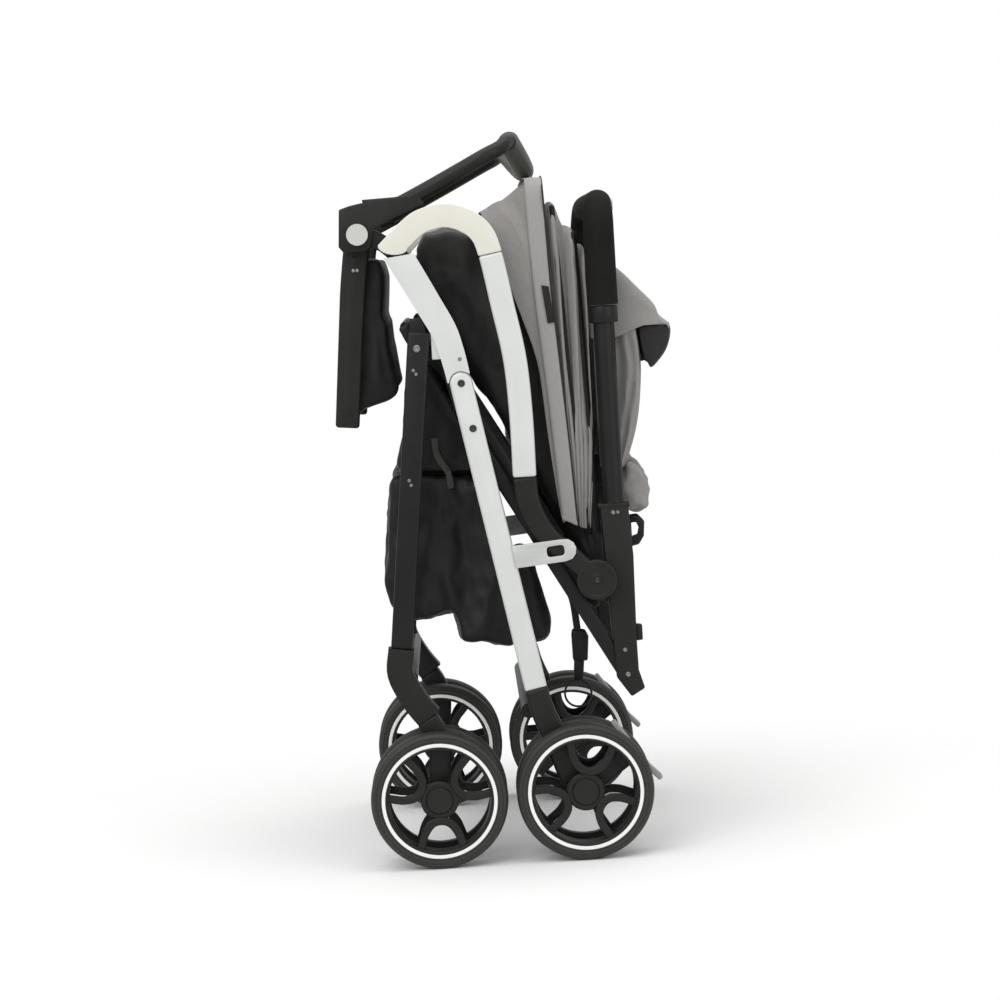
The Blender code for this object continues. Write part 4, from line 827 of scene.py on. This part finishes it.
# %% Fill a pad with a short cloth simulation
def filled(obj, voxel, pressure, cap, frames=20):
    """Even grid, then a pressure cloth simulation whose result is capped and kept."""
    only(obj)
    obj.data.remesh_voxel_size = voxel
    bpy.ops.object.voxel_remesh()
    start = [point.co.copy() for point in obj.data.vertices]
    cloth = obj.modifiers.new("Filling", "CLOTH")
    cloth.settings.use_pressure = True
    cloth.settings.uniform_pressure_force = pressure
    cloth.settings.effector_weights.gravity = 0
    cloth.settings.quality = 4
    for number in range(1, frames + 1):
        scene.frame_set(number)
    graph = bpy.context.evaluated_depsgraph_get()
    moved = [point.co.copy() for point in obj.evaluated_get(graph).data.vertices]
    obj.modifiers.remove(cloth)
    scene.frame_set(1)
    for point, a, b in zip(obj.data.vertices, start, moved):
        step = b - a
        if not step.length < 1.0:
            step = Vector((0, 0, 0))
        if step.length > cap:
            step = step * (cap / step.length)
        point.co = a + step
    return obj


def settled_pad(pad, name, finish, body, nodes):
    """Settles a pad."""
    settle(pad, name, finish, body, nodes, 60)


def creased(obj, amount, scale, stretch=(1, 1, 1), seed=0.0):
    """Presses broad folds into a piece along its own normals."""
    obj.data.update()
    normals = [point.normal.copy() for point in obj.data.vertices]
    for point, normal in zip(obj.data.vertices, normals):
        at = Vector(a * b * scale for a, b in zip(point.co, stretch)) + Vector((seed, 0, 0))
        fold = 1 - abs(noise.noise(at)) * 2
        point.co += normal * (fold - 0.6) * amount
    return obj


# %% The three pads
BACK = mm((107.5, 276), (129, 283), (112, 340), (86, 420), (64, 500), (48, 570), (23, 640),
    (-6, 704), (-33, 737), (-62, 744), (-88, 739), (-98.5, 723), (-90, 686), (-68, 640),
    (-40, 577), (3, 493), (60, 383))
back_pad = filled(outline_piece(BACK, -0.135, 0.135, 0.01, 3, 60), 0.0055, 4.0, 0.005)
creased(back_pad, 0.006, 15, (1, 0.8, 0.45), 3.1)
creased(back_pad, 0.0022, 44, (1, 1, 0.4), 5.7)
settled_pad(finer(back_pad), "back_cushion", seat_weave, "seat_back", ["seat_back"])

seat_front = Vector((-0.101, 0.6035))
seat_run = (Vector((0.123, 0.201)) - seat_front).normalized()
seat_rise = Vector((-seat_run.y, seat_run.x))
SEAT_SPAN = mm((-8, 9.5), (378, 8.5), (378, 20), (200, 21.5), (-8, 20.5))
seat_outline = [tuple(seat_front + seat_run * a + seat_rise * r) for a, r in SEAT_SPAN]
seat_pad = filled(outline_piece(seat_outline, -0.146, 0.146, 0.004, 2, 60), 0.005, 4.0, 0.005)
settled_pad(finer(seat_pad), "seat_cushion", seat_weave, "seat_frame", ["seat_pad"])

LEG_PAD = mm((-160, 711), (-140, 711), (-137, 690), (-140.5, 644), (-135.5, 634), (-135.5, 609),
    (-128.5, 556), (-132, 547), (-170, 536), (-186, 525), (-183, 560), (-172, 630))
leg_pad = filled(outline_piece(LEG_PAD, -0.159, 0.159, 0.003, 2, 30), 0.0045, 4.0, 0.0022)
creased(leg_pad, 0.0014, 24, (1, 0.7, 1), 7.7)
# The legrest cushion is the seat cloth painted darker: painted shade.
settled_pad(finer(leg_pad), "legrest_cushion", bag_and_shaded_seat_weave, "legrest", ["legrest_pad"])
print("pads:", [len(p.data.polygons) for p in (back_pad, seat_pad, leg_pad)])

# %% [markdown]
# ## Basket and the slack cloth under the seat
# The shopping basket hangs folded between the front legs, as a slack bag of thin cloth. Its
# shell is drawn from the side, rebuilt as an even grid and left with deep, mostly upright
# folds. A hem wire runs across the chair and carries it. Above the bag the seat's own cloth
# hangs in the space between the front leg and the seat tube, and a narrow skirt of it shows
# behind the rear leg. Both take a darker copy of the seat cloth as painted shade; the basket
# has the same dark colour as its own.

# %% Basket, seat skirt and rear skirt
def slack_bag(outline, half, fold, seed):
    """A thin bag across the chair with soft edges and deep upright folds."""
    bag = filled(outline_piece(outline, -half, half, 0.008, 3, 20), 0.0052, 2.0, 0.002)
    creased(bag, fold, 21, (1, 1, 0.33), seed)
    creased(bag, fold * 0.4, 60, (1, 1, 0.45), seed + 4)
    return finer(bag)


BASKET = mm((-140, 453), (-148, 400), (-156, 325), (-150, 299), (-133, 281), (-100, 285),
    (-79, 289), (-74, 281), (-69, 252), (-8, 242), (-4, 333), (-29, 443))
hem = tube([(-0.128, -0.1955, 0.36), (-0.128, 0.0, 0.36), (-0.128, 0.1955, 0.36)], 0.003, 4, 4)
settled_pad(joined(slack_bag(BASKET, 0.153, 0.0075, 1.3), hem), "basket_bag", bag_and_shaded_seat_weave,
    "front_frame", ["basket"])
SEAT_SKIRT = mm((-106, 586), (-118, 550), (-123, 500), (-134, 458), (-26, 449), (-47, 495),
    (-72, 545), (-96, 588))
# The seat's own cloth, painted darker than on the cushions: painted shade.
settled_pad(slack_bag(SEAT_SKIRT, 0.146, 0.005, 6.4), "seat_skirt", bag_and_shaded_seat_weave, "seat_frame", ())
REAR_SKIRT = mm((-2, 340), (17, 340), (37, 262), (34, 246), (0, 243), (-6, 270))
# The rear skirt of seat cloth, painted darker too: painted shade.
settled_pad(slack_bag(REAR_SKIRT, 0.14, 0.003, 8.8), "rear_skirt", bag_and_shaded_seat_weave, "front_frame", ())
pull_tab = outline_piece(ribbon(smooth_path(mm((-88.5, 496), (-86, 475), (-74.5, 454),
    (-72.5, 436)), 5), 0.007), -0.156, -0.1548, 0.0004, 2)
settle(pull_tab, "grey_pull_tab", grey_webbing, "seat_frame")

# %% [markdown]
# ## Canopy
# The canopy is one continuous sheet over three bows that fan out of one pivot. Folded, the
# cloth between the bows drops into pleats. The sheet is a grid: its columns run from the visor
# edge to the rear bow, its rows run up one side, over the top and down the other. Each key
# column is a hoop with its own side line and height, and the grid runs smoothly through them.

# %% Hoops of the canopy
ROWS = 96


def hoop(side_line, half, corner=0.022, crown=0.004, low_half=None):
    """Points up the near side along (x, z) places, over the top and down the far side."""
    line = smooth_path(side_line, 6)
    top = line[-1]
    low_half = half if low_half is None else low_half
    near = []
    for p in line:
        if p.y < top.y - corner:
            low = min(max((0.6 - p.y) / 0.1, 0), 1)
            near.append(Vector((p.x, -(half + (low_half - half) * low), p.y)))
    for k in range(9):
        turn = math.pi / 2 * k / 8
        near.append(Vector((top.x, -half + corner * (1 - math.cos(turn)),
            top.y - corner + corner * math.sin(turn))))
    for k in range(1, 6):
        near.append(Vector((top.x, (-half + corner) * (1 - k / 5),
            top.y + crown * math.sin(math.pi / 2 * k / 5))))
    whole = near + [Vector((p.x, -p.y, p.z)) for p in reversed(near[:-1])]
    lengths = [0.0]
    for a, b in zip(whole, whole[1:]):
        lengths.append(lengths[-1] + (b - a).length)
    points, i = [], 0
    for k in range(ROWS + 1):
        want = lengths[-1] * k / ROWS
        while i < len(lengths) - 2 and lengths[i + 1] < want:
            i += 1
        span = max(lengths[i + 1] - lengths[i], 1e-9)
        points.append(whole[i].lerp(whole[i + 1], (want - lengths[i]) / span))
    return points


OUT = 0.1728
VALLEY = 0.157
LOW = 0.1705
HOOPS = [hoop(mm((42, 578), (23, 630), (-1, 700), (-18.5, 756)), 0.169),
    hoop(mm((44, 530), (35, 620), (22, 700), (10, 769)), 0.1705),
    hoop(mm((54.5, 400), (51, 480), (45, 580), (38, 690), (34, 785)), OUT - 0.001),
    hoop(mm((62, 392), (60, 480), (54, 580), (50, 690), (47, 792.5)), OUT),
    hoop(mm((66, 388), (65, 480), (60.5, 580), (58, 690), (56, 744)), VALLEY, 0.014, 0.004, LOW),
    hoop(mm((70, 385), (72, 480), (69, 580), (67, 690), (65, 764)), OUT),
    hoop(mm((74.5, 383), (78, 480), (77, 580), (75.5, 680), (76, 737)), VALLEY, 0.014, 0.004, LOW),
    hoop(mm((79, 381), (85, 480), (85, 580), (85, 680), (86, 732)), OUT),
    hoop(mm((84, 380), (91.5, 480), (93, 580), (93, 670), (93.5, 710)), VALLEY + 0.004, 0.014,
    0.004, LOW), hoop(mm((89, 379), (97.5, 480), (99, 580), (99, 680), (99.5, 710)), 0.1705)]


def between(hoops, u, row):
    """The point at fraction u of the way from the first hoop to the last, in this row."""
    at = min(u * (len(hoops) - 1), len(hoops) - 1.0001)
    i = int(at)
    t = at - i
    a, b, c, d = (hoops[min(max(i + k, 0), len(hoops) - 1)][row] for k in (-1, 0, 1, 2))
    return 0.5 * (2 * b + (c - a) * t + (2 * a - 5 * b + 4 * c - d) * t ** 2
        + (3 * b - 3 * c + d - a) * t ** 3)


# %% A grid of cloth through a function of two fractions
def cloth_grid(columns, rows, place, wall):
    """A grid whose points place(u, row) sets; returns the sheet and its one-sided area."""
    bpy.ops.mesh.primitive_grid_add(x_subdivisions=columns, y_subdivisions=rows, size=1)
    obj = bpy.context.object
    for point in obj.data.vertices:
        point.co = place(point.co.x + 0.5, round((point.co.y + 0.5) * rows))
    area = sum(face.area for face in obj.data.polygons)
    modify(obj, "SOLIDIFY", thickness=wall, offset=0)
    return edited(finer(obj)), area


def settled_sheet(cloth, area, name, finish, body, nodes, side, held, rests_on):
    """Settles a sheet; its side and area are not used."""
    settle(cloth, name, finish, body, nodes, 60)


def canopy_point(u, row):
    """The canopy's surface, with shallow drag lines that run down from the bows."""
    point = between(HOOPS, u, row)
    v = row / ROWS
    side = math.copysign(1, v - 0.5)
    sway = noise.noise(Vector((u * 9.0, point.z * 5.0, side * 4.0)))
    lift = noise.noise(Vector((u * 6.0, point.y * 7.0, 11.0)))
    wall = 1 if abs(v - 0.5) > 0.2 else 0
    gather = min(max((u - 0.34) * 8, 0), 1) * min(max((0.64 - point.z) / 0.12, 0), 1)
    pleat = 1 - abs(math.sin(u * 38 + 2.5 * noise.noise(Vector((u * 4, point.z * 9, side * 3)))))
    inward = gather * wall * (0.005 * pleat ** 3)
    ease = 0.0016 * noise.noise(Vector((u * 5, point.z * 12, side * 9))) * wall
    return point + Vector((0.0026 * sway * wall, -side * inward + side * ease,
        0.002 * lift * (1 - wall)))


canopy, canopy_area = cloth_grid(64, ROWS, canopy_point, 0.0014)
CANOPY_LENGTH = 0.95
settled_sheet(canopy, canopy_area, "canopy_sheet", canopy_weave, "handle", ["canopy_cloth"],
    CANOPY_LENGTH, "stretched", ["canopy_bow_front", "canopy_bow_rear"])
print("canopy area", round(canopy_area, 3))

# %% [markdown]
# A flat sleeve of the same cloth hides the front bow. A dark cord is sewn along its rear edge,
# a hem closes its lower end, and a narrow plain tag is folded into the seam. The sleeve is a
# band drawn along the bow, and its cloth and hem are painted lighter than the canopy as a painted
# highlight, so it stays a clear, lighter stripe beside the pleats.

# %% Sleeve over the front bow, its piping, hem and tag
SLEEVE_FRONT = mm((56, 393), (51, 480), (45, 570), (39.5, 650), (36, 720), (34.5, 793.5))
SLEEVE_BACK = mm((73.5, 385), (69, 480), (63, 580), (58, 660), (56, 720), (54, 793.5))


def shifted_line(line, dx):
    return [(x + dx, z) for x, z in line]


sleeve_hoops = [hoop(shifted_line(SLEEVE_FRONT, 0.0), 0.1742, 0.016, 0.003),
    hoop(shifted_line(SLEEVE_FRONT, 0.003), 0.1762, 0.016, 0.003),
    hoop(shifted_line(SLEEVE_BACK, -0.003), 0.1762, 0.016, 0.003),
    hoop(shifted_line(SLEEVE_BACK, 0.0), 0.1748, 0.016, 0.003)]
sleeve, sleeve_area = cloth_grid(12, ROWS, lambda u, row: between(sleeve_hoops, u, row), 0.001)
# The sleeve's cloth is the canopy cloth painted lighter: a painted highlight.
settled_sheet(sleeve, sleeve_area, "bow_sleeve", lit_canopy_weave, "canopy_front", (), CANOPY_LENGTH,
    "stretched", ["canopy_bow_front"])
edge_line = hoop(shifted_line(SLEEVE_BACK, 0.0006), 0.1755, 0.016, 0.003)
piping = tube([tuple(edge_line[k]) for k in range(0, ROWS + 1, 3)], 0.0011, 3, 3)
settle(piping, "sleeve_piping", lining_weave, "canopy_front")
for side, tag in SIDES:
    hem_band = outline_piece(mm((55.6, 398.5), (73, 390.5), (73.7, 385), (56, 392.8)),
        side * 0.1771, side * 0.1747, 0.0006, 2)
    # The hem uses the same lighter-painted canopy cloth: a painted highlight.
    settle(hem_band, f"sleeve_hem_{tag}", lit_canopy_weave, "canopy_front")
seam_tag = outline_piece(mm((47, 668), (55.5, 666.5), (60.5, 624.5), (52, 623.5)), -0.1792, -0.178,
    0.0004, 2)
settle(seam_tag, "plain_tag", webbing, "canopy_front")

# %% [markdown]
# ## The rear of the canopy
# Behind the handle the rear panel stands out as a hood, turns over in a soft lip with a dark
# lining, and below it hangs as a loose drape that ends in a gathered roll.

# %% Rear hood, lining, drape and roll
HOOD_LINE = mm((101, 698.5), (118, 695), (140, 680), (160, 659), (178, 639), (183, 626),
    (193, 616.5), (194.5, 612))
hood_path = smooth_path(HOOD_LINE, 6)


def along(path, u):
    """The place at fraction u of a path of points."""
    at = min(int(u * (len(path) - 1)), len(path) - 2)
    return path[at].lerp(path[at + 1], u * (len(path) - 1) - at)


def hood_point(u, row):
    """The hood: a band across the chair whose two ends turn down as its side walls."""
    ridge = along(hood_path, u)
    v = row / ROWS * 2 - 1
    half = 0.156 - 0.006 * u
    wall = 0.2
    if abs(v) > 1 - wall:
        down = (abs(v) - (1 - wall)) / wall
        foot = 0.602 + 0.012 * min(max((ridge.x - 0.134) / 0.03, 0), 1)
        bend = min(down * 4, 1)
        wave = 0.0022 * math.sin(u * 9 + down * 3) * down
        return Vector((ridge.x, math.copysign(half + 0.003 * bend + wave, v),
            ridge.y - 0.003 - max(ridge.y - 0.003 - foot, 0.0) * down))
    across = v / (1 - wall)
    bow = 0.0085 * (1 - across ** 2) * u
    sag = 0.006 * (1 - across ** 2) * math.sin(math.pi * u)
    ripple = 0.0015 * noise.noise(Vector((across * 5, u * 3, 2.0)))
    return Vector((ridge.x + bow, across * half,
        ridge.y - sag + ripple - 0.003 * max(abs(across) - 0.93, 0) / 0.07))


settled_sheet(*cloth_grid(30, ROWS, hood_point, 0.0014), "rear_hood", canopy_weave, "handle",
    ["canopy_flap"], 0.42, "hung", ["canopy_bow_rear"])

LIP = mm((192.5, 615), (195, 606), (192.5, 593), (186, 580), (172, 564))
LIP_IN = mm((160, 613), (160.2, 604), (161.2, 593), (164, 580), (170.5, 564.5))
lip_out, lip_in = smooth_path(LIP, 6), smooth_path(LIP_IN, 6)


def lip_point(u, row):
    """The turned-down lip: a shallow scoop across the chair, closed at both ends."""
    v = row / ROWS * 2 - 1
    end = min(max((abs(v) - 0.8) / 0.2, 0), 1)
    outer, inner = along(lip_out, u), along(lip_in, u)
    place = outer.lerp(inner, end)
    across = min(abs(v) / 0.8, 1)
    y = math.copysign(across * 0.15 + 0.003 * math.sin(math.pi * end), v)
    bow = 0.0085 * (1 - across ** 2)
    return Vector((place.x + bow, y, place.y + 0.0012 * noise.noise(Vector((v * 6, u * 2, 5)))))


settled_sheet(*cloth_grid(14, ROWS, lip_point, 0.0016), "hood_lining", lining_weave, "handle", (),
    0.42, "hung", ["rear_hood"])

DRAPE_REAR = mm((156, 615), (159, 590), (159.5, 560), (156, 525), (149, 490), (140, 464),
    (134, 448))
drape_path = smooth_path(DRAPE_REAR, 6)


def drape_point(u, row):
    """A loose sheet that runs back along one side, across behind and forward again."""
    rear = along(drape_path, u)
    v = row / ROWS * 2 - 1
    front = 0.106
    if abs(v) > 0.72:
        back = 1 - (abs(v) - 0.72) / 0.28
        phase = back * 13.0 + u * 2.2 + 1.5 * noise.noise(Vector((back * 2, u * 3, 4)))
        fold = (0.5 - abs(math.sin(phase))) * 0.011
        x = front + (rear.x - front) * back
        tuck = 0.016 * min(max(1 - (back - 0.4) / 0.3, 0), 1)
        y = 0.1535 - tuck + fold * min(u * 5, 1) - 0.008 * u * back - 0.01 * (1 - back) * u
        return Vector((x, math.copysign(y, v), rear.y))
    across = v / 0.72
    fold = (0.5 - abs(math.sin(across * 15 + u * 1.5))) * 0.004
    return Vector((rear.x + fold - 0.003 * (1 - across ** 2), across * (0.1525 - 0.008 * u),
        rear.y))


settled_sheet(*cloth_grid(26, ROWS, drape_point, 0.0013), "rear_drape", canopy_weave, "handle", (),
    0.46, "hung", ["rear_hood"])

roll = outline_piece(mm((136, 444), (142, 455), (150, 450), (157, 436), (160, 418), (159, 401),
    (153, 394), (140, 392), (134, 400), (132, 420)), -0.148, 0.148, 0.004, 2, 50)
roll = filled(roll, 0.0042, 3.0, 0.002)
creased(roll, 0.0075, 34, (1, 1.6, 0.8), 9.2)
creased(roll, 0.003, 80, (1, 1.2, 0.9), 2.2)
settled_pad(finer(roll), "gathered_roll", canopy_weave, "handle", ())
buckle_plate = outline_piece(mm((136, 388), (148, 389), (156, 380), (154.5, 362), (148, 352),
    (137, 350)), -0.112, -0.1, 0.0026, 3)
buckle_hole = outline_piece(mm((140, 379), (146, 379), (149, 372), (147, 364), (140, 362)), -0.12,
    -0.09, 0.001, 2)
cut_away(buckle_plate, buckle_hole)
settle(buckle_plate, "roll_buckle", black_shell, "handle")
